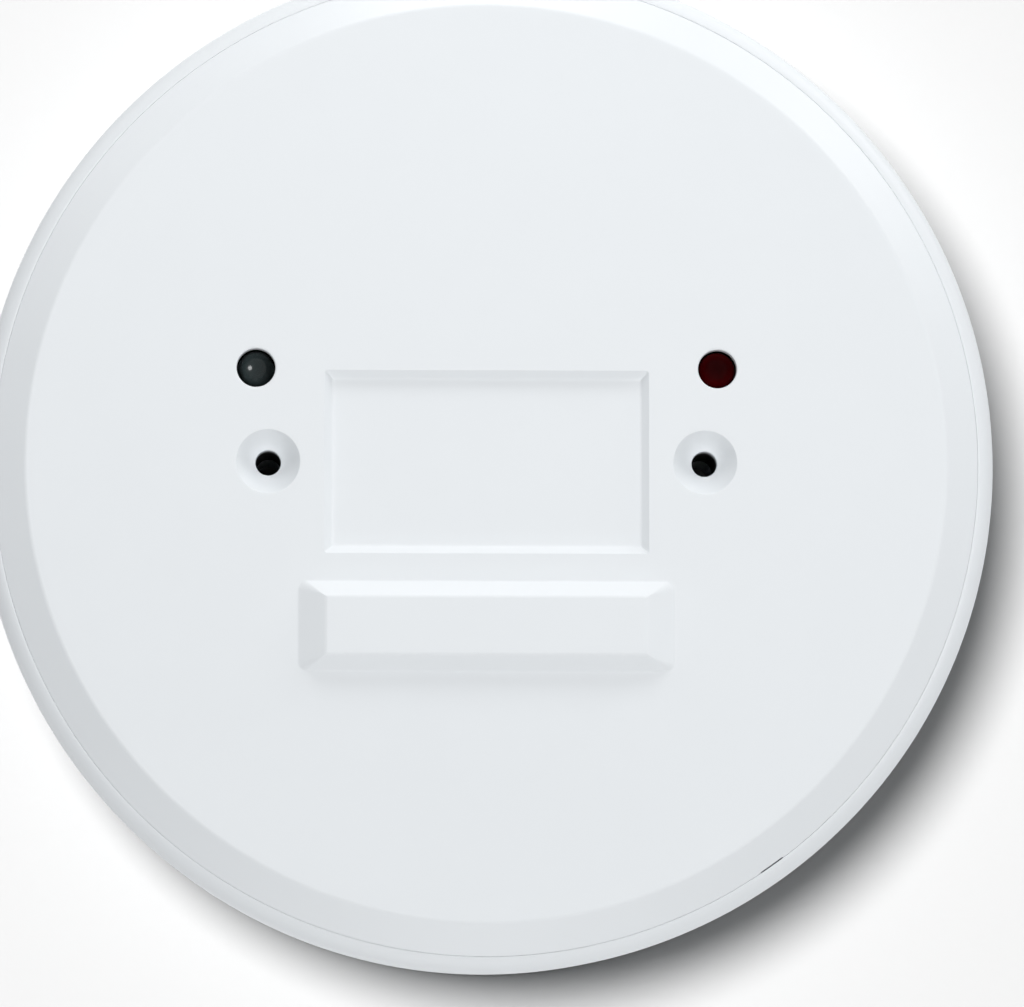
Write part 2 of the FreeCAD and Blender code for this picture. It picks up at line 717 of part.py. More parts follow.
def make_lamps():
    """Two lamps at the face, each on its leads over a spacer."""
    tip = face_height - lamp_tip_below_face
    foot = tip - lamp_length
    leads = []
    spacers = []
    for node, side in (("power_lamp", -1), ("alarm_lamp", 1)):
        centre = (side * lamp_x, lamp_y)
        dome = arc_points((0, tip - lamp_radius), lamp_radius, 0.0, math.pi / 2, lamp_dome_facets)
        body = turned([
            (0, foot), (lamp_flange_radius, foot), (lamp_flange_radius, foot + lamp_flange_height),
            (lamp_radius, foot + lamp_flange_height),
        ] + dome[:-1] + [(0, tip)], centre)
        keep(node, body)
        bore = centred_block(centre, spacer_bore, (board_top - overshoot, foot + overshoot))
        spacers.append(centred_block(centre, (spacer_width, spacer_width), (board_top, foot)).cut(bore))
        for place in lead_places(centre, lamp_lead_pitch):
            leads.append(centred_block(place, (lamp_lead_width, lamp_lead_width), (pin_end, foot)))
    keep("lamp_spacers", *spacers)
    keep("lamp_leads", *leads)


dropper_pitch = dropper_length + 2 * dropper_lead_reach
through_leads = (
    lead_places(suppressor_centre, suppressor_pitch) + lead_places(varistor_centre, varistor_pitch)
    + lead_places(fuse_centre, fuse_pitch) + lead_places(reservoir_centre, reservoir_pitch)
)
dropper_leads = lead_places(dropper_centre, dropper_pitch)


def make_board_parts():
    """Parts that feed and drive the relay: mains input, rectifier, reservoir, isolator and logic."""
    box = centred_block(suppressor_centre, suppressor_size[:2], (board_top, board_top + suppressor_size[2]))
    upright = [edge for edge in box.Edges if edge.BoundBox.ZMax - edge.BoundBox.ZMin > suppressor_edge]
    keep("suppressor_capacitor", box.makeChamfer(suppressor_edge, upright))

    x, y = varistor_centre
    disc = Part.makeCylinder(varistor_radius, varistor_width,
                             Vector(x, y - varistor_width / 2, board_top + varistor_radius + varistor_lift),
                             Vector(0, 1, 0))
    foot = centred_block(varistor_centre, varistor_foot[:2], (board_top, board_top + varistor_foot[2]))
    keep("varistor", disc.fuse(foot).removeSplitter())

    keep("fuse", rod(fuse_centre, fuse_radius, (board_top, board_top + fuse_height)))
    keep("reservoir_capacitor", rod(reservoir_centre, reservoir_radius, (board_top, board_top + reservoir_height)))

    level = board_top + dropper_lift + dropper_radius
    half = dropper_length / 2
    end = Vector(dropper_centre[0] - half, dropper_centre[1], level)
    keep("dropper_resistor", Part.makeCylinder(dropper_radius, dropper_length, end, Vector(1, 0, 0)))

    lead_size = (lead_width, lead_width)
    leads = [centred_block(place, lead_size, (pin_end, board_top)) for place in through_leads]
    for side, place in zip((-1, 1), dropper_leads):
        start = dropper_centre[0] + side * half
        reach = (min(start, place[0] + side * lead_width / 2), max(start, place[0] + side * lead_width / 2))
        run = block(reach, (place[1] - lead_width / 2, place[1] + lead_width / 2),
                    (level - lead_width / 2, level + lead_width / 2))
        leads.append(centred_block(place, lead_size, (pin_end, level)).fuse(run).removeSplitter())
    keep("component_leads", *leads)

    chips = (
        ("line_isolator", isolator_centre, isolator_size, isolator_leg_count, isolator_leg_pitch),
        ("controller_chip", controller_centre, controller_size, controller_leg_count, controller_leg_pitch),
        ("bridge_rectifier", rectifier_centre, rectifier_size, rectifier_leg_count, rectifier_leg_pitch),
        ("drive_transistor", transistor_centre, transistor_size, transistor_leg_count, transistor_leg_pitch),
    )
    legs = []
    low = board_top + chip_lift
    for node, centre, size, count, pitch in chips:
        keep(node, centred_block(centre, size[:2], (low, low + size[2])))
        for side in (-1, 1):
            for index in range(count):
                x = centre[0] + (index - (count - 1) / 2) * pitch
                legs.append(chip_leg(x, centre[1], side, size, low))
    keep("chip_legs", *legs)

    x, y = resistor_row
    chips = [centred_block((x + index * resistor_pitch, y), (resistor_size[1], resistor_size[0]),
                           (board_top, board_top + resistor_size[2])) for index in range(resistor_count)]
    keep("chip_resistors", *chips)
    x, y = diode_row
    diodes = [centred_block((x + index * diode_pitch, y), diode_size[:2], (board_top, board_top + diode_size[2]))
              for index in range(diode_count)]
    keep("diodes", *diodes)


def chip_leg(x, centre_y, side, size, low):
    """Leg of a chip, from the body's side down to the board."""
    wall = centre_y + side * size[1] / 2
    mid = low + size[2] / 2
    toe = wall + side * leg_reach
    t = leg_thickness
    points = [
        (wall, mid), (wall + side * t, mid), (toe, board_top + t), (toe, board_top),
        (toe - side * 2 * t, board_top), (wall, mid - 2 * t),
    ]
    return side_profile(points, (x - leg_width / 2, x + leg_width / 2))


def pin_hole(place, pin_size):
    """Cut through the board for a pin, with play on every side."""
    size = [width + 2 * pin_hole_play for width in pin_size]
    return centred_block(place, size, (board_bottom - overshoot, board_top + overshoot))


def make_circuit_board():
    """Round board cut straight in front of the terminals, drilled for posts, screws and pins."""
    board = rod((0, 0), board_radius, (board_bottom, board_top))
    span = (board_bottom - overshoot, board_top + overshoot)
    cuts = [block((-housing_radius, housing_radius), (-housing_radius, board_front_y), span)]
    for side in (-1, 1):
        cuts.append(rod((side * fixing_x, 0), rear_post_radius + post_clearance, span))
        for place in lead_places((side * lamp_x, lamp_y), lamp_lead_pitch):
            cuts.append(pin_hole(place, (lamp_lead_width, lamp_lead_width)))
    for place in standoffs:
        cuts.append(rod(place, board_screw_radius + board_hole_play, span))
    for place in through_leads + dropper_leads:
        cuts.append(pin_hole(place, (lead_width, lead_width)))
    for place in contact_legs:
        cuts.append(pin_hole(place, (contact_leg_width, contact_thickness)))
    for place in relay_pin_places():
        cuts.append(pin_hole(place, (relay_pin_width, relay_pin_thickness)))
    cuts.append(centred_block(isolator_centre, isolation_slot_size, span))
    keep("circuit_board", board.cut(cuts))


def make_board_screws():
    """Screws that hold the board on its standoffs."""
    screws = []
    for place in standoffs:
        head_top = board_top + board_screw_head_height
        width, depth = board_screw_slot
        shank = rod(place, board_screw_radius, (board_top - board_screw_length, head_top - depth))
        head = rod(place, board_screw_head_radius, (board_top, head_top))
        slot = centred_block(place, (3 * board_screw_head_radius, width), (head_top - depth, head_top + overshoot))
        screws.append(head.fuse(shank).removeSplitter().cut(slot))
    keep("board_screws", *screws)


def main():
    make_rear_housing()
    make_front_cover()
    make_circuit_board()
    make_board_screws()
    pole_names = {-1: ("live", "neutral", "line"), 1: ("common", "closed", "open")}
    for block_name, side in (("mains", -1), ("output", 1)):
        make_terminal_block(block_name + "_terminal_body", side)
        make_terminal_contacts(block_name + "_terminal_contacts", side)
        for pole, place in zip(pole_names[side], pole_places(side)):
            make_clamp(block_name + "_" + pole + "_clamp", place)
            make_clamp_screw(block_name + "_" + pole + "_screw", place)
    make_relay()
    make_lamps()
    make_board_parts()
    os.makedirs("parts", exist_ok=True)
    for node, solids in NODES.items():
        shape = solids[0] if len(solids) == 1 else Part.makeCompound(solids)
        if not shape.isValid() or any(len(solid.Solids) != 1 for solid in solids):
            raise ValueError(node + " is not sound: " + str([len(solid.Solids) for solid in solids]))
        shape.exportStep("parts/" + node + ".step")
        box = shape.BoundBox
        print("%-26s %2d  x %7.2f %7.2f  y %7.2f %7.2f  z %6.2f %6.2f  volume %9.1f" % (
            node, len(solids), box.XMin, box.XMax, box.YMin, box.YMax, box.ZMin, box.ZMax, shape.Volume))


main()
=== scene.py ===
import logging
import math
from dataclasses import dataclass
from enum import Enum
from functools import cached_property
from typing import Any, Optional, Sequence, Union

import bmesh
import bpy
import numpy as np
from mathutils import Matrix, Vector
from mathutils.geometry import delaunay_2d_cdt


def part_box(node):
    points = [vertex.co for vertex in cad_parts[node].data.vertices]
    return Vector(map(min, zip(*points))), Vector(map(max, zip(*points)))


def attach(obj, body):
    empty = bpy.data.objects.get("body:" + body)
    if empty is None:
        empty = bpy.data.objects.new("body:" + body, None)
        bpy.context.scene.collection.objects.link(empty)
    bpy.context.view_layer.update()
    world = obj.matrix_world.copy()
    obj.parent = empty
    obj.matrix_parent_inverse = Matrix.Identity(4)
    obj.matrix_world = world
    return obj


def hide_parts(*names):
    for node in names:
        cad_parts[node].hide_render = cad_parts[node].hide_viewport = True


# Looks of a round wall module: a white two-part housing with two lamps, and the relay board inside it.
# Sizes are millimetres in the part's own frame, and meshes are written in metres.

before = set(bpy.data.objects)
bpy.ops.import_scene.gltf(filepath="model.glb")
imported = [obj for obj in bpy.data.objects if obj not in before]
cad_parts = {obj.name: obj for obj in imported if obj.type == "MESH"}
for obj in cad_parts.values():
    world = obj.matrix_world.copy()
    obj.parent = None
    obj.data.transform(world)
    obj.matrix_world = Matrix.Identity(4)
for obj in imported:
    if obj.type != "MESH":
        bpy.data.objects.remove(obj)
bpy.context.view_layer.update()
LOG = logging.getLogger("wall_module")
MM = 0.001
# Points nearer to each other than this, in metres, are one point
MERGE = 2e-7
# Edges past this angle in degrees stay sharp in the shading
SHARP = 38.0
# Faces of a CAD node within the first angle are one face, and its edges past the second are broken
FLAT_ANGLE = math.radians(0.5)
EDGE_ANGLE = math.radians(35)
Colour = tuple[float, float, float]
Point = tuple[float, float]


# Outlines in the plane


@dataclass(frozen=True)
class Circle:
    """Circle about a centre, with a number of even points and further angles in radians."""

    centre: Point = (0.0, 0.0)
    radius: float = 0.0
    count: int = 64
    extra: tuple[float, ...] = ()

    def grown(self, offsets: np.ndarray) -> np.ndarray:
        """Rings of the circle, grown by offsets: centre + (radius + offset) (cos t, sin t).

        Args:
            offsets: One growth in millimetres for each ring.

        Returns:
            Array of shape (rings, points, 2).
        """
        even = np.arange(self.count) * (2 * math.pi / self.count)
        turn = np.unique(np.concatenate([even, np.mod(self.extra, 2 * math.pi)]))
        reach = np.maximum(self.radius + np.atleast_1d(offsets), 0.0)[:, None]
        x = self.centre[0] + reach * np.cos(turn)
        y = self.centre[1] + reach * np.sin(turn)
        return np.stack([x, y], axis=-1)


@dataclass(frozen=True)
class Oblong:
    """Rectangle with round corners about a centre."""

    centre: Point
    size: Point
    corner: float = 0.4
    facets: int = 6

    def grown(self, offsets: np.ndarray) -> np.ndarray:
        """Rings of the rectangle, grown by offsets; a corner is its hub plus a quarter circle.

        Args:
            offsets: One growth in millimetres for each ring.

        Returns:
            Array of shape (rings, points, 2).
        """
        offset = np.atleast_1d(offsets)[:, None, None]
        corner = np.maximum(self.corner + offset, 0.02)
        half = np.array(self.size) / 2 + offset
        turn = np.linspace(0, math.pi / 2, self.facets + 1) + np.arange(4)[:, None] * (math.pi / 2)
        sign = np.array([(1, 1), (-1, 1), (-1, -1), (1, -1)], float)
        hub = (half - corner)[:, :, None, :] * sign[None, :, None, :]
        arm = corner[..., None] * np.stack([np.cos(turn), np.sin(turn)], axis=-1)[None]
        rings = (hub + arm).reshape(len(offset), -1, 2)
        return rings + np.array(self.centre)


@dataclass(frozen=True)
class Polygon:
    """Closed outline of straight runs, counter-clockwise."""

    corners: tuple[Point, ...]

    def grown(self, offsets: np.ndarray) -> np.ndarray:
        """Rings of the polygon, each side moved out by an offset.

        Formula: a corner moves by offset (m + n) / (1 + m . n), with the outward normals m and n of its
        sides.

        Args:
            offsets: One growth in millimetres for each ring.

        Returns:
            Array of shape (rings, points, 2).
        """
        points = np.array(self.corners, float)
        side = np.roll(points, -1, axis=0) - points
        side /= np.linalg.norm(side, axis=1, keepdims=True)
        after = np.stack([side[:, 1], -side[:, 0]], axis=-1)
        before = np.roll(after, 1, axis=0)
        lift = (before + after) / (1 + np.sum(before * after, axis=1, keepdims=True))
        return points + np.atleast_1d(offsets)[:, None, None] * lift


@dataclass(frozen=True)
class Track:
    """Band of even width along a path, with square ends."""

    path: tuple[Point, ...]
    width: float

    def grown(self, offsets: np.ndarray) -> np.ndarray:
        """Rings of the band, grown by offsets.

        Formula: a bend's points lie h (m + n) / (1 + m . n) to each side, with the normals m and n of its
        runs and the half width h, and an end lies h past the path's end.

        Args:
            offsets: One growth in millimetres for each ring.

        Returns:
            Array of shape (rings, points, 2).
        """
        points = np.array(self.path, float)
        run = np.diff(points, axis=0)
        run /= np.linalg.norm(run, axis=1, keepdims=True)
        side = np.stack([run[:, 1], -run[:, 0]], axis=-1)
        before, after = np.concatenate([side[:1], side]), np.concatenate([side, side[-1:]])
        lift = (before + after) / (1 + np.sum(before * after, axis=1, keepdims=True))
        half = self.width / 2 + np.atleast_1d(offsets)[:, None, None]
        ends = np.zeros_like(points)
        ends[0], ends[-1] = -run[0], run[-1]
        right = points + half * (lift + ends)
        left = points + half * (ends - lift)
        return np.concatenate([right, left[:, ::-1]], axis=1)


Outline = Union[Circle, Oblong, Polygon, Track]


def rounded(points: Sequence[Point], radii: Union[float, Sequence[float]], facets: int = 4) -> np.ndarray:
    """Polyline whose inner corners are arcs that touch both of their runs.

    Formula: the arc of radius r at a corner with the half angle a starts r / tan a before the corner.

    Args:
        points: Corners (offset, z) of the polyline.
        radii: Radius of every inner corner, or one for all of them.
        facets: Number of steps on each arc.

    Returns:
        Array of shape (points, 2).
    """
    corner = np.array(points, float)
    radius = np.broadcast_to(np.array(radii, float), len(corner) - 2)
    runs = [corner[:1]]
    for index, r in enumerate(radius, 1):
        here = corner[index]
        back, ahead = corner[index - 1] - here, corner[index + 1] - here
        room = 0.49 * min(np.linalg.norm(back), np.linalg.norm(ahead))
        back, ahead = back / np.linalg.norm(back), ahead / np.linalg.norm(ahead)
        half = math.acos(float(np.clip(back @ ahead, -1, 1))) / 2
        reach = min(r / math.tan(half), room) if half < math.pi / 2 - 1e-3 else 0.0
        if reach < 1e-4:
            runs.append(here[None])
            continue
        bend = back + ahead
        hub = here + bend / np.linalg.norm(bend) * reach / math.cos(half)
        start, end = here + back * reach - hub, here + ahead * reach - hub
        span = math.pi - 2 * half
        step = np.linspace(0, 1, facets + 1)[:, None]
        runs.append(hub + (np.sin((1 - step) * span) * start + np.sin(step * span) * end) / math.sin(span))
    runs.append(corner[-1:])
    return np.concatenate(runs)


def inside(points: np.ndarray, ring: np.ndarray) -> np.ndarray:
    """Whether points lie in a ring: a level ray from such a point crosses the ring an odd number of times.

    Args:
        points: Array of shape (points, 2).
        ring: Closed outline of shape (corners, 2).

    Returns:
        One truth value for each point.
    """
    start, end = ring, np.roll(ring, -1, axis=0)
    x, y = points[:, :1], points[:, 1:]
    crosses = (start[:, 1] > y) != (end[:, 1] > y)
    rise = np.where(end[:, 1] == start[:, 1], 1.0, end[:, 1] - start[:, 1])
    meets = start[:, 0] + (end[:, 0] - start[:, 0]) * (y - start[:, 1]) / rise
    return (crosses & (x < meets)).sum(axis=1) % 2 == 1


class Shape:
    """Surface joined from strips and flats, which meet along shared rings."""

    def __init__(self) -> None:
        """Start with nothing."""
        self.points: list[np.ndarray] = []
        self.faces: list[list[int]] = []
        self.total = 0

    def add(self, points: np.ndarray, faces: np.ndarray) -> "Shape":
        """Take in points and the faces between them.

        Args:
            points: Array of shape (points, 3).
            faces: Array of corner numbers, counted from the first of these points.

        Returns:
            This shape.
        """
        self.points.append(points)
        self.faces.extend((faces + self.total).tolist())
        self.total += len(points)
        return self

    def grid(self, points: np.ndarray, closed: bool = True) -> "Shape":
        """Quads between the neighbours of a grid of points.

        Args:
            points: Array of shape (rows, columns, 3).
            closed: Whether the last column joins the first.

        Returns:
            This shape.
        """
        rows, columns = points.shape[:2]
        index = np.arange(rows * columns).reshape(rows, columns)
        ahead = np.roll(index, -1, axis=1)
        span = slice(None) if closed else slice(0, columns - 1)
        quads = np.stack([index[:-1, span], ahead[:-1, span], ahead[1:, span], index[1:, span]], axis=-1)
        return self.add(points.reshape(-1, 3), quads.reshape(-1, 4))

    def strip(self, outline: Outline, profile: np.ndarray) -> "Shape":
        """Carry a profile round an outline.

        Args:
            outline: Path in the plane.
            profile: Array of (offset from the outline, z).

        Returns:
            This shape.
        """
        rings = outline.grown(profile[:, 0])
        height = np.broadcast_to(profile[:, 1][:, None, None], rings.shape[:2] + (1,))
        return self.grid(np.concatenate([rings, height], axis=-1))

    def flat(self, z: float, outer: np.ndarray, holes: Sequence[np.ndarray] = ()) -> "Shape":
        """Fill a level area between rings.

        Args:
            z: Height of the area.
            outer: Ring round the area.
            holes: Rings left open in it.

        Returns:
            This shape.
        """
        rings = [outer, *holes]
        points = np.concatenate(rings)
        starts = np.cumsum([0] + [len(ring) for ring in rings])
        edges = [np.stack([np.arange(a, b), np.roll(np.arange(a, b), -1)], axis=-1)
                 for a, b in zip(starts[:-1], starts[1:])]
        made = delaunay_2d_cdt(points.tolist(), np.concatenate(edges).tolist(), [], 1, 1e-7)
        corners = np.array([tuple(corner) for corner in made[0]])
        faces = np.array(made[2])
        middle = corners[faces].mean(axis=1)
        kept = inside(middle, outer)
        for hole in holes:
            kept &= ~inside(middle, hole)
        level = np.full((len(corners), 1), z)
        return self.add(np.concatenate([corners, level], axis=-1), faces[kept])

    def lid(self, outline: Outline, offset: float, z: float) -> "Shape":
        """Fill the whole of a grown outline at a height."""
        return self.flat(z, outline.grown(np.array([offset]))[0])

    def slab(self, outline: Outline, low: float, high: float, edge: float, facets: int = 3) -> "Shape":
        """Closed plate with an outline and rounded edges.

        Args:
            outline: Shape of the plate seen from above.
            low: Height of its underside.
            high: Height of its top.
            edge: Radius of its edges.
            facets: Steps on each rounded edge.

        Returns:
            This shape.
        """
        inset = 1.6 * edge
        profile = rounded([(-inset, low), (0, low), (0, high), (-inset, high)], edge, facets)
        return self.strip(outline, profile).lid(outline, -inset, low).lid(outline, -inset, high)

    def moved(self, matrix: Matrix) -> "Shape":
        """Carry all points so far by a matrix, in millimetres.

        Args:
            matrix: Turn and shift.

        Returns:
            This shape.
        """
        carry = np.array(matrix)
        self.points = [points @ carry[:3, :3].T + carry[:3, 3] for points in self.points]
        return self

    def join(self, other: "Shape") -> "Shape":
        """Take in another shape as it stands.

        Args:
            other: Shape whose points and faces are added.

        Returns:
            This shape.
        """
        shift = self.total
        self.points.extend(other.points)
        self.faces.extend([[corner + shift for corner in face] for face in other.faces])
        self.total += other.total
        return self

    def piece(self, name: str, look: "Look", sharp: float = SHARP) -> bpy.types.Object:
        """Write the shape as a Blender object in metres and dress it.

        Args:
            name: Name of the object.
            look: Body, material slot, material and the nodes it stands for.
            sharp: Angle in degrees past which an edge stays sharp.

        Returns:
            The object.
        """
        mesh = bpy.data.meshes.new(name)
        mesh.from_pydata((np.concatenate(self.points) * MM).tolist(), [], self.faces)
        work = bmesh.new()
        work.from_mesh(mesh)
        bmesh.ops.remove_doubles(work, verts=work.verts, dist=MERGE)
        bmesh.ops.recalc_face_normals(work, faces=work.faces)
        work.to_mesh(mesh)
        work.free()
        mesh.shade_smooth()
        mesh.set_sharp_from_angle(angle=math.radians(sharp))
        made = bpy.data.objects.new(name, mesh)
        bpy.context.scene.collection.objects.link(made)
        weigh = made.modifiers.new("even_shading", "WEIGHTED_NORMAL")
        weigh.keep_sharp = True
        mesh.materials.append(look.material)
        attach(made, look.body)
        if look.stands_for:
            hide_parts(*look.stands_for)
        LOG.info("%s: %d faces on %s", name, len(mesh.polygons), look.body)
        return made


@dataclass(frozen=True)
class Look:
    """Where a piece belongs and what it is finished with."""

    body: str
    material: bpy.types.Material
    slot: str = ""
    stands_for: tuple[str, ...] = ()


# Shader maths and finishes


class Value:
    """Socket of a node tree whose maths is written as a Python expression."""

    def __init__(self, nodes: "Nodes", socket: bpy.types.NodeSocket) -> None:
        """Keep the tree and the socket."""
        self.nodes = nodes
        self.socket = socket

    def apply(self, operation: str, first: Any, second: Any) -> "Value":
        """Value of a Math node on two inputs, numbers or values."""
        made = self.nodes.node("ShaderNodeMath", {"operation": operation}, {0: first, 1: second})
        return Value(self.nodes, made.outputs[0])

    def __add__(self, other: Any) -> "Value":
        """Sum."""
        return self.apply("ADD", self, other)

    def __sub__(self, other: Any) -> "Value":
        """Difference."""
        return self.apply("SUBTRACT", self, other)

    def __rsub__(self, other: Any) -> "Value":
        """Difference from a number."""
        return self.apply("SUBTRACT", other, self)

    def __mul__(self, other: Any) -> "Value":
        """Product."""
        return self.apply("MULTIPLY", self, other)

    def __pow__(self, other: Any) -> "Value":
        """Power."""
        return self.apply("POWER", self, other)

    __radd__ = __add__
    __rmul__ = __mul__

    def __abs__(self) -> "Value":
        """Size without its sign."""
        return self.apply("ABSOLUTE", self, 0.0)

    def wave(self) -> "Value":
        """Sine of an angle in radians."""
        return self.apply("SINE", self, 0.0)

    def step(self, low: float, high: float) -> "Value":
        """Smooth step from 0 at low to 1 at high.

        Args:
            low: Value at which it starts.
            high: Value at which it ends.

        Returns:
            Step between 0 and 1.
        """
        made = self.nodes.node("ShaderNodeMapRange", {"interpolation_type": "SMOOTHSTEP"},
                               {"Value": self, "From Min": low, "From Max": high})
        return Value(self.nodes, made.outputs[0])


class Nodes:
    """Node tree of a material or of the world, with the few patterns that the finishes share."""

    def __init__(self, owner: Union[bpy.types.Material, bpy.types.World]) -> None:
        """Open an empty node tree in a new material or world.

        Args:
            owner: New material or world.
        """
        owner.use_nodes = True
        self.owner = owner
        self.tree = owner.node_tree
        self.tree.nodes.clear()

    @classmethod
    def of(cls, name: str) -> "Nodes":
        """Empty node tree of a new material."""
        return cls(bpy.data.materials.new(name))

    @cached_property
    def place(self) -> bpy.types.NodeSocket:
        """Place on the part, in Object coordinates."""
        return self.node("ShaderNodeTexCoord").outputs["Object"]

    def node(self, kind: str, settings: Optional[dict[str, Any]] = None,
             sockets: Optional[dict[Union[str, int], Any]] = None) -> bpy.types.Node:
        """Add a node.

        Args:
            kind: Type of the node.
            settings: Properties by name, which are set first.
            sockets: Numbers, colours, sockets or values by input name or number.

        Returns:
            The node.
        """
        made = self.tree.nodes.new(kind)
        for name, setting in (settings or {}).items():
            setattr(made, name, setting)
        for name, given in (sockets or {}).items():
            if isinstance(given, Value):
                given = given.socket
            if isinstance(given, bpy.types.NodeSocket):
                self.tree.links.new(given, made.inputs[name])
            else:
                made.inputs[name].default_value = given
        return made

    def noise(self, grain: float, detail: float = 2.0, stretch: Sequence[float] = (1, 1, 1)) -> Value:
        """Noise about 0.5, which is longer along an axis whose stretch is below 1.

        Args:
            grain: Size of the grain in millimetres.
            detail: Number of finer layers.
            stretch: Scale along each axis.

        Returns:
            Noise between 0 and 1.
        """
        spread = self.node("ShaderNodeMapping", {}, {"Vector": self.place, "Scale": tuple(stretch)})
        made = self.node("ShaderNodeTexNoise", {"noise_dimensions": "3D"},
                         {"Vector": spread.outputs[0], "Scale": 1 / (grain * MM), "Detail": detail})
        return Value(self, made.outputs[0])

    def mixed(self, factor: Value, first: Any, second: Any) -> bpy.types.NodeSocket:
        """Colour between two colours or sockets, by a factor.

        Args:
            factor: 0 for the first and 1 for the second.
            first: Colour or socket.
            second: Colour or socket.

        Returns:
            Socket of the colour.
        """
        pair = [(*end, 1.0) if isinstance(end, tuple) else end for end in (first, second)]
        made = self.node("ShaderNodeMix", {"data_type": "RGBA"}, {"Factor": factor, 6: pair[0], 7: pair[1]})
        return made.outputs[2]

    def bump(self, height: Value, depth: float, strength: float) -> bpy.types.NodeSocket:
        """Normal of a relief with a depth in millimetres.

        Args:
            height: Height of the relief between 0 and 1.
            depth: Depth of the relief in millimetres.
            strength: How far it turns the normal.

        Returns:
            Socket of the normal.
        """
        made = self.node("ShaderNodeBump", {},
                         {"Height": height, "Distance": depth * MM, "Strength": strength})
        return made.outputs[0]

    def axes(self) -> list[Value]:
        """Place on the part along x, y and z, in millimetres."""
        split = self.node("ShaderNodeSeparateXYZ", {}, {0: self.place})
        return [Value(self, output) * (1 / MM) for output in split.outputs]

    def finish(self, kind: str, sockets: dict[str, Any]) -> bpy.types.Material:
        """Wire a shader of a kind to the surface.

        Args:
            kind: Type of the shader's node.
            sockets: Numbers, colours, sockets or values by input name.

        Returns:
            The material.
        """
        shader = self.node(kind, {}, sockets)
        self.node("ShaderNodeOutputMaterial", {}, {"Surface": shader.outputs[0]})
        return self.owner


def toned(colour: Colour, share: float) -> Colour:
    """Colour made lighter or darker by a share."""
    return tuple(min(part * share, 1.0) for part in colour)


PLAIN_SHADER = "ShaderNodeBsdfPrincipled"


@dataclass(frozen=True)
class Moulded:
    """Moulded or cast plastic: a fine grain, a faint cloudiness, uneven gloss and, where shaded_bores is set,
    painted shade deep in the two fixing bores.
    """

    name: str
    colour: Colour
    roughness: float = 0.42
    grain: float = 0.16
    depth: float = 0.010
    cloud: float = 0.03
    specular: float = 0.5
    coat: float = 0.0
    # Painted shade in the fixing bores: their x, radius and rim, how it fades across and down, and the dark
    # colour it turns to
    shaded_bores: tuple[float, float, float] = (0.0, 0.0, 0.0)
    bore_shade_fade: Point = (0.3, 4.0)
    bore_shade_colour: Colour = (0.02, 0.02, 0.02)
    patch: float = 70.0
    uneven: Point = (0.10, 0.08)
    relief: float = 0.6

    def painted_bore_shade(self, nodes: Nodes) -> Value:
        """Painted shade of the two fixing bores, from 0 outside to 1 deep inside; it darkens the colour where
        shade falls in them.

        Args:
            nodes: Node tree of the material.

        Returns:
            The painted shade; shaded_bores are the x, radius and rim of the bores, and it fades across and
            down by bore_shade_fade.
        """
        x, y, z = nodes.axes()
        place, radius, rim = self.shaded_bores
        across, down = self.bore_shade_fade
        reach = ((abs(x) - place) ** 2 + y ** 2) ** 0.5
        return (1 - reach.step(radius, radius + across)) * (1 - z.step(rim - down, rim))

    def material(self) -> bpy.types.Material:
        """Material of this finish.

        Returns:
            The material.
        """
        nodes = Nodes.of(self.name)
        fine = nodes.noise(self.grain, 3.0)
        broad = nodes.noise(self.patch * self.grain, 2.0)
        darker, lighter = toned(self.colour, 1 - self.cloud), toned(self.colour, 1 + self.cloud)
        colour = nodes.mixed(broad.step(0.3, 0.7), darker, lighter)
        # Painted shade: the colour turns towards bore_shade_colour deep in the fixing bores
        if self.shaded_bores[1]:
            colour = nodes.mixed(self.painted_bore_shade(nodes), colour, self.bore_shade_colour)
        roughness = self.roughness + self.uneven[0] * (broad - 0.5) + self.uneven[1] * (fine - 0.5)
        return nodes.finish(PLAIN_SHADER, {
            "Base Color": colour, "Roughness": roughness, "Specular IOR Level": self.specular,
            "Coat Weight": self.coat, "Coat Roughness": 0.08,
            "Normal": nodes.bump(fine, self.depth, self.relief)})


class Lay(Enum):
    """Direction of the marks that rolling, drawing or turning leaves in metal."""

    ALONG_X = (0.06, 1.0, 1.0)
    ALONG_Y = (1.0, 0.06, 1.0)
    UPRIGHT = (1.0, 1.0, 0.06)
    NONE = (1.0, 1.0, 1.0)


@dataclass(frozen=True)
class Plated:
    """Plated or bare metal: fine marks along its lay and a thin, patchy tarnish."""

    name: str
    colour: Colour
    tarnish: Colour
    roughness: float = 0.28
    lay: Lay = Lay.NONE
    grain: float = 0.12
    depth: float = 0.006
    patch: float = 14.0
    patch_edge: Point = (0.42, 0.72)
    uneven: Point = (0.14, 0.16)
    relief: float = 0.5

    def material(self) -> bpy.types.Material:
        """Material of this finish.

        Returns:
            The material.
        """
        nodes = Nodes.of(self.name)
        marks = nodes.noise(self.grain, 2.0, self.lay.value)
        patch = nodes.noise(self.patch * self.grain, 4.0)
        colour = nodes.mixed(patch.step(*self.patch_edge), self.colour, self.tarnish)
        roughness = self.roughness + self.uneven[0] * (marks - 0.5) + self.uneven[1] * (patch - 0.5)
        return nodes.finish(PLAIN_SHADER, {
            "Base Color": colour, "Roughness": roughness, "Metallic": 1.0,
            "Normal": nodes.bump(marks, self.depth, self.relief)})


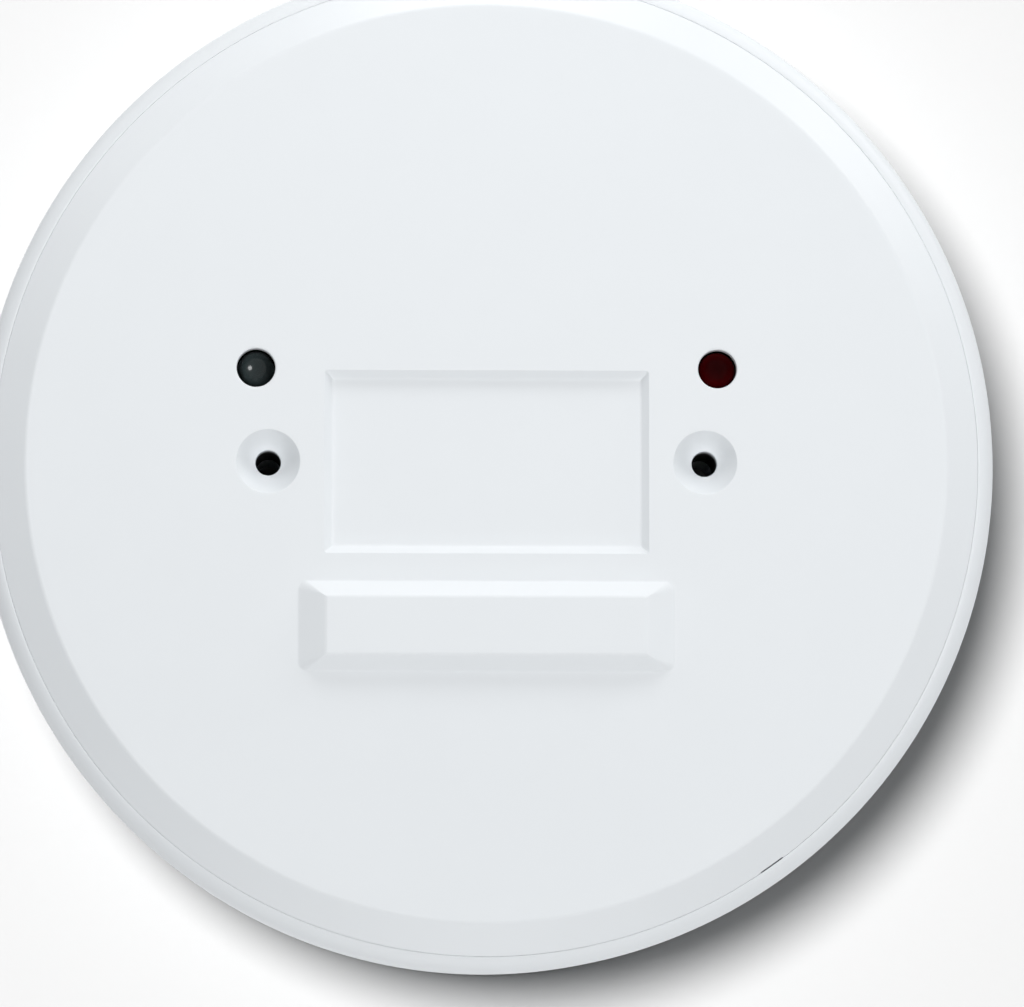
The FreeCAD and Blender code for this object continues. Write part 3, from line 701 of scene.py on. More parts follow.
@dataclass(frozen=True)
class Resin:
    """Clear cast resin with a body colour and small flow marks."""

    name: str
    colour: Colour
    roughness: float = 0.04
    index: float = 1.5
    clear: float = 1.0
    specular: float = 0.5
    flow_grain: float = 2.5
    streak: float = 0.06
    uneven: float = 0.02
    relief: Point = (0.002, 0.1)

    def material(self) -> bpy.types.Material:
        """Material of this finish.

        Returns:
            The material.
        """
        nodes = Nodes.of(self.name)
        flow = nodes.noise(self.flow_grain, 2.0)
        colour = nodes.mixed(flow, toned(self.colour, 1 - self.streak), toned(self.colour, 1 + self.streak))
        return nodes.finish(PLAIN_SHADER, {
            "Base Color": colour, "Roughness": self.roughness + self.uneven * flow, "IOR": self.index,
            "Specular IOR Level": self.specular, "Transmission Weight": self.clear,
            "Normal": nodes.bump(flow, *self.relief)})


@dataclass(frozen=True)
class Laminate:
    """Circuit board: green mask over a faint glass weave, and the bare cut edge between its faces."""

    name: str
    mask: Colour
    edge: Colour
    faces: Point
    weave: float = 0.5
    mask_film: Point = (0.02, 0.05)
    patch_grain: float = 6.0
    streak: float = 0.04
    roughness: Point = (0.28, 0.63)
    uneven: float = 0.03
    coat: float = 0.3
    relief: Point = (0.006, 0.4)

    def material(self) -> bpy.types.Material:
        """Material of this finish, with the roughness of the mask and that of the bare edge.

        Returns:
            The material.
        """
        nodes = Nodes.of(self.name)
        x, y, z = nodes.axes()
        turns = 2 * math.pi / self.weave
        cloth = (x * turns).wave() * (y * turns).wave()
        patch = nodes.noise(self.patch_grain, 3.0)
        darker, lighter = toned(self.mask, 1 - self.streak), toned(self.mask, 1 + self.streak)
        face = nodes.mixed(patch.step(0.25, 0.75), darker, lighter)
        low, high = self.faces
        film, bare = self.mask_film
        between = z.step(low + film, low + bare) * (1 - z.step(high - bare, high - film))
        colour = nodes.mixed(between, face, self.edge)
        smooth, rough = self.roughness
        roughness = smooth + (rough - smooth) * between + self.uneven * (patch - 0.5)
        return nodes.finish(PLAIN_SHADER, {
            "Base Color": colour, "Roughness": roughness, "Coat Weight": self.coat * (1 - between),
            "Normal": nodes.bump(cloth, *self.relief)})


@dataclass(frozen=True)
class Banded:
    """Lacquered body with printed bands across one axis."""

    name: str
    colour: Colour
    band: Colour
    axis: int
    bands: tuple[Point, ...]
    roughness: float = 0.3
    band_edge: float = 0.04
    lacquer_grain: float = 0.5
    streak: float = 0.07
    uneven: float = 0.12
    relief: Point = (0.012, 0.5)

    def material(self) -> bpy.types.Material:
        """Material of this finish.

        Returns:
            The material.
        """
        nodes = Nodes.of(self.name)
        place, soft = nodes.axes()[self.axis], self.band_edge
        lacquer = nodes.noise(self.lacquer_grain, 3.0)
        within = sum(place.step(low, low + soft) * (1 - place.step(high - soft, high))
                     for low, high in self.bands)
        body = nodes.mixed(lacquer, toned(self.colour, 1 - self.streak), toned(self.colour, 1 + self.streak))
        return nodes.finish(PLAIN_SHADER, {
            "Base Color": nodes.mixed(within, body, self.band),
            "Roughness": self.roughness + self.uneven * (lacquer - 0.5),
            "Normal": nodes.bump(lacquer, *self.relief)})


Finish = Union[Moulded, Plated, Resin, Laminate, Banded]
Materials = dict[str, bpy.types.Material]


# Places read from the frame


@dataclass(frozen=True)
class Span:
    """Lowest and highest corner of something, in millimetres."""

    low: np.ndarray
    high: np.ndarray

    @classmethod
    def of(cls, node: str) -> "Span":
        """Span of a CAD node."""
        low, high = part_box(node)
        return cls(np.array(low) / MM, np.array(high) / MM)

    @classmethod
    def around(cls, points: np.ndarray) -> "Span":
        """Span of an array of points."""
        return cls(points.min(axis=0), points.max(axis=0))

    @property
    def centre(self) -> np.ndarray:
        """Middle of the span."""
        return (self.low + self.high) / 2

    @property
    def size(self) -> np.ndarray:
        """Length of each side."""
        return self.high - self.low


def solids(node: str) -> list[np.ndarray]:
    """Points of each loose solid of a CAD node, in millimetres.

    Formula: every point takes the lowest label among the triangles that it touches until no label changes.

    Args:
        node: Name of the node.

    Returns:
        One array of shape (points, 3) for each solid.
    """
    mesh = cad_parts[node].data
    flat = np.empty(len(mesh.vertices) * 3)
    mesh.vertices.foreach_get("co", flat)
    corners = np.empty(len(mesh.loops), int)
    mesh.loops.foreach_get("vertex_index", corners)
    points, same = np.unique(np.round(flat.reshape(-1, 3) / MM, 3), axis=0, return_inverse=True)
    faces = same.reshape(-1)[corners].reshape(-1, 3)
    label = np.arange(len(points))
    while True:
        lowest = label.copy()
        for corner in range(3):
            np.minimum.at(lowest, faces[:, corner], label[faces].min(axis=1))
        if (lowest == label).all():
            break
        label = lowest
    return [points[label == each] for each in np.unique(label)]


def feet(node: str) -> list[Span]:
    """Span of the lowest face of each solid of a CAD node.

    Args:
        node: Name of the node.

    Returns:
        One span for each solid.
    """
    found = []
    for points in solids(node):
        foot = points[points[:, 2] < points[:, 2].min() + 0.01]
        found.append(Span.around(foot))
    return found


def keep(material: bpy.types.Material, edge: float, *nodes: str) -> None:
    """Finish CAD nodes as they are, with their sharp edges broken.

    Args:
        material: Material of the nodes.
        edge: Width of the broken edges in millimetres.
        nodes: Names of the nodes.
    """
    for name in nodes:
        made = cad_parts[name]
        for place in made.material_slots:
            place.material = material
        weld = made.modifiers.new("weld", "WELD")
        weld.merge_threshold = MERGE
        clean = made.modifiers.new("clean", "DECIMATE")
        clean.decimate_type = "DISSOLVE"
        clean.angle_limit = FLAT_ANGLE
        bevel = made.modifiers.new("edges", "BEVEL")
        bevel.width = edge * MM
        bevel.segments = 2
        bevel.limit_method = "ANGLE"
        bevel.angle_limit = EDGE_ANGLE
        bevel.use_clamp_overlap = True
        shade = made.modifiers.new("even_shading", "WEIGHTED_NORMAL")
        shade.keep_sharp = True
        made.data.shade_smooth()


# Housing


@dataclass(frozen=True)
class Housing:
    """White two-part housing: the cover with its face, and the dish behind it."""

    radius: float = 70.0
    back_radius: float = 69.5
    back: float = 2.0
    recess_radius: float = 66.0
    recess_depth: float = 0.5
    back_seat: float = 5.5
    pin_marks: int = 6
    pin_reach: float = 52.0
    wall_inner: float = 66.8
    rim_inner: float = 67.75
    rim_round: Point = (2.0, 2.7)
    rim_height: float = 25.4
    joint_gap: float = 0.02
    seat_gap: float = 0.1
    face: float = 28.0
    bevel_width: float = 4.45
    cover_thickness: float = 2.0
    skirt: Point = (1.6, 6.0)
    fixing_x: float = 30.0
    fixing_radius: float = 1.75
    sink_radius: float = 4.4
    tube_radius: float = 4.0
    tube_end: float = 11.0
    post_radius: float = 5.0
    lamp_x: float = 31.7
    lamp_y: float = 12.9
    lamp_hole: float = 2.65
    collar: Point = (6.7, 8.7)
    collar_depth: float = 4.0
    label_size: Point = (44.6, 25.2)
    label_corner: float = 0.45
    label_depth: float = 1.0
    label_run: float = 1.1
    bar_size: Point = (51.6, 12.4)
    bar_corner: float = 1.3
    bar_slope: Point = (3.8, 2.2)
    bar_height: float = 1.8
    bar_y: float = -22.6
    flat_margin: float = 0.5
    slot_angle: float = -54.6
    slot_size: tuple[float, float, float] = (3.6, 0.13, 2.0)
    slot_play: Point = (0.0006, 0.0012)
    ribs: int = 8
    rib_half: float = 0.6
    rib_section: tuple[Point, ...] = ((54.2, 0.4), (56.0, -2.0), (66.3, -4.0), (66.3, -2.2), (62.6, 0.4))
    tongues: int = 4
    tongue_size: Point = (8.0, 8.0)
    tongue_wall: Point = (64.9, 66.5)
    guide_place: Point = (65.5, 5.05)
    guide_size: Point = (3.4, 1.5)
    entry_size: Point = (40.0, 14.0)
    entry_y: float = -18.5
    entry_collar: Point = (1.2, 1.6)
    mark_size: Point = (2.0, 0.12)
    board_bottom: float = 6.0
    board_radius: float = 60.0
    pilot_size: Point = (1.45, 2.4)
    boss_wall: float = 1.95
    boss_inset: float = 6.0
    boss_turn: float = 70.0
    rest_turns: tuple[float, ...] = (-4.0, 90.0, 184.0)
    rest_size: Point = (6.0, 1.5)
    segments: int = 288

    @property
    def edge(self) -> float:
        """Radius of the cover where it meets the rim."""
        return self.rim_inner - self.joint_gap

    @property
    def skirt_end(self) -> float:
        """Height at which the cover's skirt ends."""
        return self.rim_height - self.skirt[1]

    @property
    def ceiling(self) -> float:
        """Height of the cover's underside."""
        return self.face - self.cover_thickness

    def axis_circle(self) -> Circle:
        """Circle about the axis with further points at the ends of the pry slot.

        Returns:
            The circle.
        """
        half = self.slot_size[0] / 2 / self.edge
        middle = math.radians(self.slot_angle)
        near = [middle + side * (half + step) for side in (-1, 1) for step in (0.0, self.slot_play[1])]
        return Circle(count=self.segments, extra=tuple(near))

    def notched(self, shape: Shape) -> Shape:
        """Press the pry slot into the cover's edge.

        Formula: within the slot's angle and height the radius is cut to the slot's floor.

        Args:
            shape: Shape of the cover.

        Returns:
            The same shape.
        """
        middle = math.radians(self.slot_angle)
        half = self.slot_size[0] / 2 / self.edge + self.slot_play[0]
        floor = self.edge - self.slot_size[1]
        low = self.rim_height - self.slot_size[2]
        for points in shape.points:
            reach = np.hypot(points[:, 0], points[:, 1])
            turn = np.arctan2(points[:, 1], points[:, 0])
            cut = (np.abs(turn - middle) < half) & (reach > floor) & (points[:, 2] >= low)
            points[cut, :2] *= (floor / reach[cut])[:, None]
        return shape

    def face_loops(self) -> dict[str, Outline]:
        """Outlines of everything that opens or rises from the face.

        Returns:
            Outlines by name.
        """
        loops: dict[str, Outline] = {
            "label": Oblong((0, 0), self.label_size, self.label_corner, 4),
            "bar": Oblong((0, self.bar_y), self.bar_size, self.bar_corner, 6),
        }
        for side, name in ((-1, "left"), (1, "right")):
            loops["sink_" + name] = Circle((side * self.fixing_x, 0), self.sink_radius, 72)
            loops["lamp_" + name] = Circle((side * self.lamp_x, self.lamp_y), self.lamp_hole, 64)
        return loops

    def cover_section(self) -> np.ndarray:
        """Section of the cover from its face over the bevel, down the skirt and back to its underside.

        Returns:
            Array of (radius, z).
        """
        top, ceiling = self.face, self.ceiling
        face_radius = self.edge - self.bevel_width
        slope = (self.face - self.rim_height) / self.bevel_width
        angle = math.atan(slope)
        skirt_inner = self.edge - self.skirt[0]
        under_bevel = top - self.cover_thickness / math.cos(angle)
        bevel_end = under_bevel - (skirt_inner - face_radius) * slope
        inner_face = face_radius - self.cover_thickness * math.tan(angle / 2)
        slot_low = self.rim_height - self.slot_size[2]
        ahead = self.slot_size[1] + 0.06
        return rounded([
            (face_radius - 1.4, top), (face_radius, top),
            (self.edge - ahead, self.rim_height + ahead * slope), (self.edge, self.rim_height),
            (self.edge, slot_low), (self.edge, slot_low - 0.01),
            (self.edge, self.skirt_end), (skirt_inner, self.skirt_end),
            (skirt_inner, bevel_end), (inner_face, ceiling), (inner_face - 1.4, ceiling),
        ], [1.2, 0.0, 0.07, 0.0, 0.0, 0.3, 0.3, 0.8, 0.8], 6)

    def cover_shape(self) -> Shape:
        """Cover: its face and bevel, its skirt, and its underside with tubes and collars.

        Returns:
            The shape.
        """
        axis = self.axis_circle()
        outer = self.cover_section()
        shape = Shape().strip(axis, outer)
        loops = self.face_loops()
        rings = [loop.grown(np.array([self.flat_margin]))[0] for loop in loops.values()]
        shape.flat(self.face, axis.grown(outer[:1, 0])[0], rings)
        self.label_field(shape, loops["label"])
        self.bar(shape, loops["bar"])
        under: list[np.ndarray] = []
        for side, name in ((-1, "left"), (1, "right")):
            under.append(self.fixing_tube(shape, loops["sink_" + name]))
            under.append(self.lamp_collar(shape, loops["lamp_" + name], side))
        under += [self.label_backing(shape), self.bar_hollow(shape)]
        shape.flat(self.ceiling, axis.grown(outer[-1:, 0])[0], under)
        return self.notched(shape)

    def label_field(self, shape: Shape, loop: Outline) -> None:
        """Add the sunk label field with its sloped sides and soft inner edges.

        Args:
            shape: Cover that takes it in.
            loop: Rim of the field.
        """
        top, floor = self.face, self.face - self.label_depth
        side = rounded([(self.flat_margin, top), (0, top), (-self.label_run, floor),
                        (-self.label_run - 0.6, floor)], [0.12, 0.9], 6)
        shape.strip(loop, side).lid(loop, side[-1, 0], side[-1, 1])

    def bar(self, shape: Shape, loop: Outline) -> None:
        """Add the raised bar with its sloped sides and longer sloped ends.

        Args:
            shape: Cover that takes it in.
            loop: Foot of the bar.
        """
        top, bar_top, run = self.face, self.face + self.bar_height, self.bar_slope[1]
        side = rounded([(self.flat_margin, top), (0, top), (-run, bar_top), (-run - 1.2, bar_top)],
                       [0.45, 0.9], 6)
        shape.strip(loop, side)
        self.hip(shape.points[-1])
        ring = shape.points[-1].reshape(len(side), -1, 3)[-1]
        shape.flat(bar_top, ring[:, :2])

    def fixing_tube(self, shape: Shape, sink: Outline) -> np.ndarray:
        """Add a countersunk fixing hole and the tube under it.

        Formula: at the share w of the way in, the depth is (w + sin(w pi / 2)) / 2 of the whole.

        Args:
            shape: Cover that takes it in.
            sink: Rim of the countersink.

        Returns:
            Ring that the tube leaves in the ceiling.
        """
        top = self.face
        bore = self.fixing_radius - self.sink_radius
        wall = self.tube_radius - self.sink_radius
        way = np.linspace(0, 1, 8)[1:-1]
        bowl = bore * np.stack([way, (way + np.sin(way * math.pi / 2)) / 2], axis=-1) + (0, top)
        tube = rounded([
            (self.flat_margin, top), (0, top), *map(tuple, bowl), (bore, top + bore), (bore, self.tube_end),
            (wall, self.tube_end), (wall, self.ceiling), (wall + 0.8, self.ceiling),
        ], [0.12, *[0.0] * len(bowl), 0.15, 0.2, 0.2, 0.4], 4)
        shape.strip(sink, tube)
        return sink.grown(tube[-1:, 0])[0]

    def lamp_collar(self, shape: Shape, lamp: Outline, side: int) -> np.ndarray:
        """Add a lamp hole and the square collar under it.

        Args:
            shape: Cover that takes it in.
            lamp: Rim of the hole.
            side: -1 for the left lamp and 1 for the right one.

        Returns:
            Ring that the collar leaves in the ceiling.
        """
        top, ceiling, low = self.face, self.ceiling, self.ceiling - self.collar_depth
        hole = rounded([(self.flat_margin, top), (0, top), (0, ceiling), (0.3, ceiling)], [0.22, 0.05], 4)
        shape.strip(lamp, hole)
        inner, outer = self.collar
        box = Oblong((side * self.lamp_x, self.lamp_y), (outer, outer), 1.2, 6)
        wall = (inner - outer) / 2
        collar = rounded([(0.6, ceiling), (0, ceiling), (0, low), (wall, low), (wall, ceiling),
                          (wall - 0.2, ceiling)], [0.3, 0.2, 0.2, 0.1], 3)
        shape.strip(box, collar)
        shape.flat(ceiling, box.grown(collar[-1:, 0])[0], [lamp.grown(hole[-1:, 0])[0]])
        return box.grown(collar[:1, 0])[0]

    def label_backing(self, shape: Shape) -> np.ndarray:
        """Add the pad that backs the label field.

        Args:
            shape: Cover that takes it in.

        Returns:
            Ring that the pad leaves in the ceiling.
        """
        ceiling = self.ceiling
        size = tuple(side + 2 * self.cover_thickness for side in self.label_size)
        backing = Oblong((0, 0), size, 2.0, 6)
        pad = rounded([(0.5, ceiling), (0, ceiling), (0, ceiling - self.label_depth),
                       (-0.6, ceiling - self.label_depth)], 0.25, 3)
        shape.strip(backing, pad).lid(backing, pad[-1, 0], pad[-1, 1])
        return backing.grown(pad[:1, 0])[0]

    def bar_hollow(self, shape: Shape) -> np.ndarray:
        """Add the hollow behind the raised bar.

        Args:
            shape: Cover that takes it in.

        Returns:
            Ring that the hollow leaves in the ceiling.
        """
        ceiling = self.ceiling
        size = tuple(side - 2 * self.cover_thickness for side in self.bar_size)
        hollow = Oblong((0, self.bar_y), size, 1.0, 6)
        pocket = rounded([(0.4, ceiling), (0, ceiling), (-1.1, ceiling + self.bar_height),
                          (-1.7, ceiling + self.bar_height)], 0.2, 3)
        shape.strip(hollow, pocket).lid(hollow, pocket[-1, 0], pocket[-1, 1])
        return hollow.grown(pocket[:1, 0])[0]

    def hip(self, points: np.ndarray) -> None:
        """Draw the bar's ends in.

        Formula: a point moves along x by the end's further slope times its share of the height.

        Args:
            points: Points of the bar's side, moved in place.
        """
        share = np.clip((points[:, 2] - self.face) / self.bar_height, 0, 1)
        further = (self.bar_slope[0] - self.bar_slope[1]) * share
        half = self.bar_size[0] / 2 - self.bar_slope[1] * share
        points[:, 0] *= (half - further) / half

    def stiffeners(self) -> Shape:
        """Ribs under the cover's bevel and tongues that run down into the dish.

        Returns:
            The shape.
        """
        shape = Shape()
        corners = tuple((reach, self.ceiling + rise) for reach, rise in self.rib_section)
        for index in range(self.ribs):
            rib = Shape().slab(Polygon(corners), -self.rib_half, self.rib_half, 0.15, 2)
            turn = Matrix.Rotation(math.radians((index + 0.5) * 360 / self.ribs), 4, "Z")
            shape.join(rib.moved(turn @ Matrix.Rotation(math.pi / 2, 4, "X")))
        width, depth = self.tongue_size
        outline = Oblong((0, self.skirt_end - depth / 2 + 1.0), (width, depth + 2.0), 1.2, 5)
        lay = Matrix(((0, 0, 1, 0), (1, 0, 0, 0), (0, 1, 0, 0), (0, 0, 0, 1)))
        for index in range(self.tongues):
            tongue = Shape().slab(outline, *self.tongue_wall, 0.3, 3)
            turn = Matrix.Rotation(math.radians(index * 360 / self.tongues), 4, "Z")
            shape.join(tongue.moved(turn @ lay))
        return shape

    def dish_section(self) -> np.ndarray:
        """Section of the dish from its recessed back up the wall and over the rim to its seat and floor.

        Returns:
            Array of (radius, z).
        """
        ledge = self.skirt_end - self.seat_gap
        width, fall = self.rim_round
        bend = (width * width + fall * fall) / (2 * width)
        turn = np.linspace(0, math.asin(fall / bend), 11)
        rim = np.stack([self.radius - bend + bend * np.cos(turn),
                        self.rim_height - fall + bend * np.sin(turn)], axis=-1)
        foot = rounded([
            (self.recess_radius - 2, self.recess_depth), (self.recess_radius, self.recess_depth),
            (self.recess_radius + 0.15, 0), (self.back_radius, 0), tuple(rim[0]),
        ], [0.3, 0.2, 0.8], 4)
        inner = rounded([
            tuple(rim[-1]), (self.rim_inner, self.rim_height), (self.rim_inner, ledge),
            (self.wall_inner, ledge), (self.wall_inner, self.back), (self.wall_inner - 2, self.back),
        ], [0.04, 0.15, 0.2, 0.8], 4)
        return np.concatenate([foot[:-1], rim[:-1], inner])

    def dish_shape(self) -> Shape:
        """Dish: its back, wall and rim, the cable entry, posts, standoffs and ejector marks.

        Returns:
            The shape.
        """
        axis = Circle(count=self.segments)
        profile = self.dish_section()
        shape = Shape().strip(axis, profile)
        below: list[np.ndarray] = []
        above: list[np.ndarray] = []
        self.cable_entry(shape, below, above)
        for side in (-1, 1):
            self.post(shape, side, below, above)
            self.standoff(shape, side, above)
        for step in range(self.pin_marks):
            self.ejector_mark(shape, math.radians((step + 0.5) * 360 / self.pin_marks), below)
        shape.flat(self.recess_depth, axis.grown(profile[:1, 0])[0], below)
        shape.flat(self.back, axis.grown(profile[-1:, 0])[0], above)
        return shape

    def cable_entry(self, shape: Shape, below: list[np.ndarray], above: list[np.ndarray]) -> None:
        """Add the cable entry with its collar.

        Args:
            shape: Dish that takes it in.
            below: Rings left open in the back, which get one more.
            above: Rings left open in the floor, which get one more.
        """
        deep, back = self.recess_depth, self.back
        entry = Oblong((0, self.entry_y), self.entry_size, 3.0, 8)
        wall, rise = self.entry_collar
        collar = rounded([(0.5, deep), (0, deep), (0, back + rise), (wall, back + rise), (wall, back),
                          (wall + 0.8, back)], [0.3, 0.3, 0.3, 0.4], 4)
        shape.strip(entry, collar)
        below.append(entry.grown(collar[:1, 0])[0])
        above.append(entry.grown(collar[-1:, 0])[0])

    def post(self, shape: Shape, side: int, below: list[np.ndarray], above: list[np.ndarray]) -> None:
        """Add the post round a fixing hole and its raised seat on the back.

        Args:
            shape: Dish that takes it in.
            side: -1 for the left post and 1 for the right one.
            below: Rings left open in the back, which get one more.
            above: Rings left open in the floor, which get one more.
        """
        deep, back, end = self.recess_depth, self.back, self.tube_end - self.seat_gap
        bore = Circle((side * self.fixing_x, 0), self.fixing_radius, 56)
        wall = self.post_radius - self.fixing_radius
        seat = self.back_seat - self.fixing_radius
        post = rounded([
            (seat + 0.5, deep), (seat, deep), (seat - 0.1, 0), (0, 0), (0, end), (wall, end), (wall, back),
            (wall + 0.8, back),
        ], [0.1, 0.15, 0.2, 0.25, 0.3, 0.5], 4)
        shape.strip(bore, post)
        below.append(bore.grown(post[:1, 0])[0])
        above.append(bore.grown(post[-1:, 0])[0])

    def standoff(self, shape: Shape, side: int, above: list[np.ndarray]) -> None:
        """Add a standoff with its pilot hole, under a board screw.

        Args:
            shape: Dish that takes it in.
            side: -1 for the left standoff and 1 for the right one.
            above: Rings left open in the floor, which get one more.
        """
        reach = self.board_radius - self.boss_inset
        turn = math.radians(90 - side * self.boss_turn)
        hole, depth = self.pilot_size
        foot = Circle((reach * math.cos(turn), reach * math.sin(turn)), hole, 40)
        top, pilot, wall = self.board_bottom, self.board_bottom - depth, self.boss_wall
        boss = rounded([(-0.7, pilot), (0, pilot), (0, top), (wall, top), (wall, self.back),
                        (wall + 0.8, self.back)], [0.1, 0.2, 0.2, 0.5], 3)
        shape.strip(foot, boss).lid(foot, -0.7, pilot)
        above.append(foot.grown(boss[-1:, 0])[0])

    def ejector_mark(self, shape: Shape, turn: float, below: list[np.ndarray]) -> None:
        """Add a shallow round mark that an ejector pin leaves on the back.

        Args:
            shape: Dish that takes it in.
            turn: Direction of the mark in radians.
            below: Rings left open in the back, which get one more.
        """
        radius, depth = self.mark_size
        low, high = self.recess_depth, self.recess_depth + depth
        mark = Circle((self.pin_reach * math.cos(turn), self.pin_reach * math.sin(turn)), radius, 40)
        dent = rounded([(0.4, low), (0, low), (-0.05, high), (-0.5, high)], 0.04, 2)
        shape.strip(mark, dent).lid(mark, dent[-1, 0], dent[-1, 1])
        below.append(mark.grown(dent[:1, 0])[0])

    def guides(self) -> Shape:
        """Pairs of ribs beside the cover's tongues, and the plain supports under the board.

        Returns:
            The shape.
        """
        shape = Shape()
        low, ledge = self.back - 0.4, self.skirt_end - self.seat_gap - 1.0
        reach, aside = self.guide_place
        for quarter in range(4):
            for side in (-1, 1):
                rib = Shape().slab(Oblong((reach, side * aside), self.guide_size, 0.4, 3), low, ledge, 0.2, 2)
                shape.join(rib.moved(Matrix.Rotation(quarter * math.pi / 2, 4, "Z")))
        stand = Oblong((self.board_radius - self.rest_size[0] / 2, 0), self.rest_size, 0.4, 3)
        for angle in self.rest_turns:
            rest = Shape().slab(stand, low, self.board_bottom, 0.2, 2)
            shape.join(rest.moved(Matrix.Rotation(math.radians(angle), 4, "Z")))
        return shape

    def build(self, shell: bpy.types.Material, back: bpy.types.Material) -> None:
        """Make the cover and the dish.

        Args:
            shell: Material of the cover.
            back: Material of the dish.
        """
        cover = self.cover_shape().join(self.stiffeners())
        cover.piece("cover_shell", Look("cover", shell, "cover_plastic", ("front_cover",)))
        dish = self.dish_shape().join(self.guides())
        dish.piece("dish_shell", Look("module", back, "housing_plastic", ("rear_housing",)))


# Lamps


@dataclass(frozen=True)
class Lamp:
    """Five millimetre lamp: a domed lens with a flange, and the cup and post cast into it."""

    name: str
    x: float
    y: float = 12.9
    tip: float = 27.8
    length: float = 8.6
    radius: float = 2.5
    flange: Point = (2.9, 1.0)
    cup_rim: float = 4.6
    cup_radius: Point = (0.85, 1.0)
    post: Point = (1.27, 0.5)
    stem: Point = (-0.6, 1.5)

    def build(self, lens: bpy.types.Material, metal: bpy.types.Material, slot: str) -> None:
        """Make the lens and the metal in it.

        Args:
            lens: Material of the resin.
            metal: Material of the cup and the post.
            slot: Material slot of the lens in the record.
        """
        foot = self.tip - self.length
        centre = self.tip - self.radius
        turn = np.linspace(0, math.pi / 2, 17)
        dome = np.stack([self.radius * np.cos(turn), centre + self.radius * np.sin(turn)], axis=-1)
        base = rounded([(0, foot), (self.flange[0], foot), (self.flange[0], foot + self.flange[1]),
                        (self.radius, foot + self.flange[1]), tuple(dome[0])], [0.15, 0.2, 0.1], 4)
        axis = Circle((self.x, self.y), 0.0, 64)
        body = Shape().strip(axis, np.concatenate([base[:-1], dome]))
        body.piece(self.name + "_lens", Look("module", lens, slot, (self.name,)))

        rim = foot + self.cup_rim
        inner, outer = self.cup_radius
        cup = rounded([(0, rim - 0.75), (inner - 0.5, rim - 0.75), (inner, rim), (outer, rim),
                       (outer, rim - 1.1), (outer - 0.5, rim - 1.5), (0, rim - 1.5)], 0.06, 3)
        cast = Shape().strip(axis, cup)
        for (aside, width), drop in ((self.post, 0.2), (self.stem, 1.3)):
            bar = Oblong((self.x + aside, self.y), (width, 0.5), 0.08, 2)
            cast.join(Shape().slab(bar, foot + 0.3, rim - drop, 0.06, 2))
        cast.piece(self.name + "_cup", Look("module", metal, "tinned_wire"))


# Circuit board and what is soldered to it


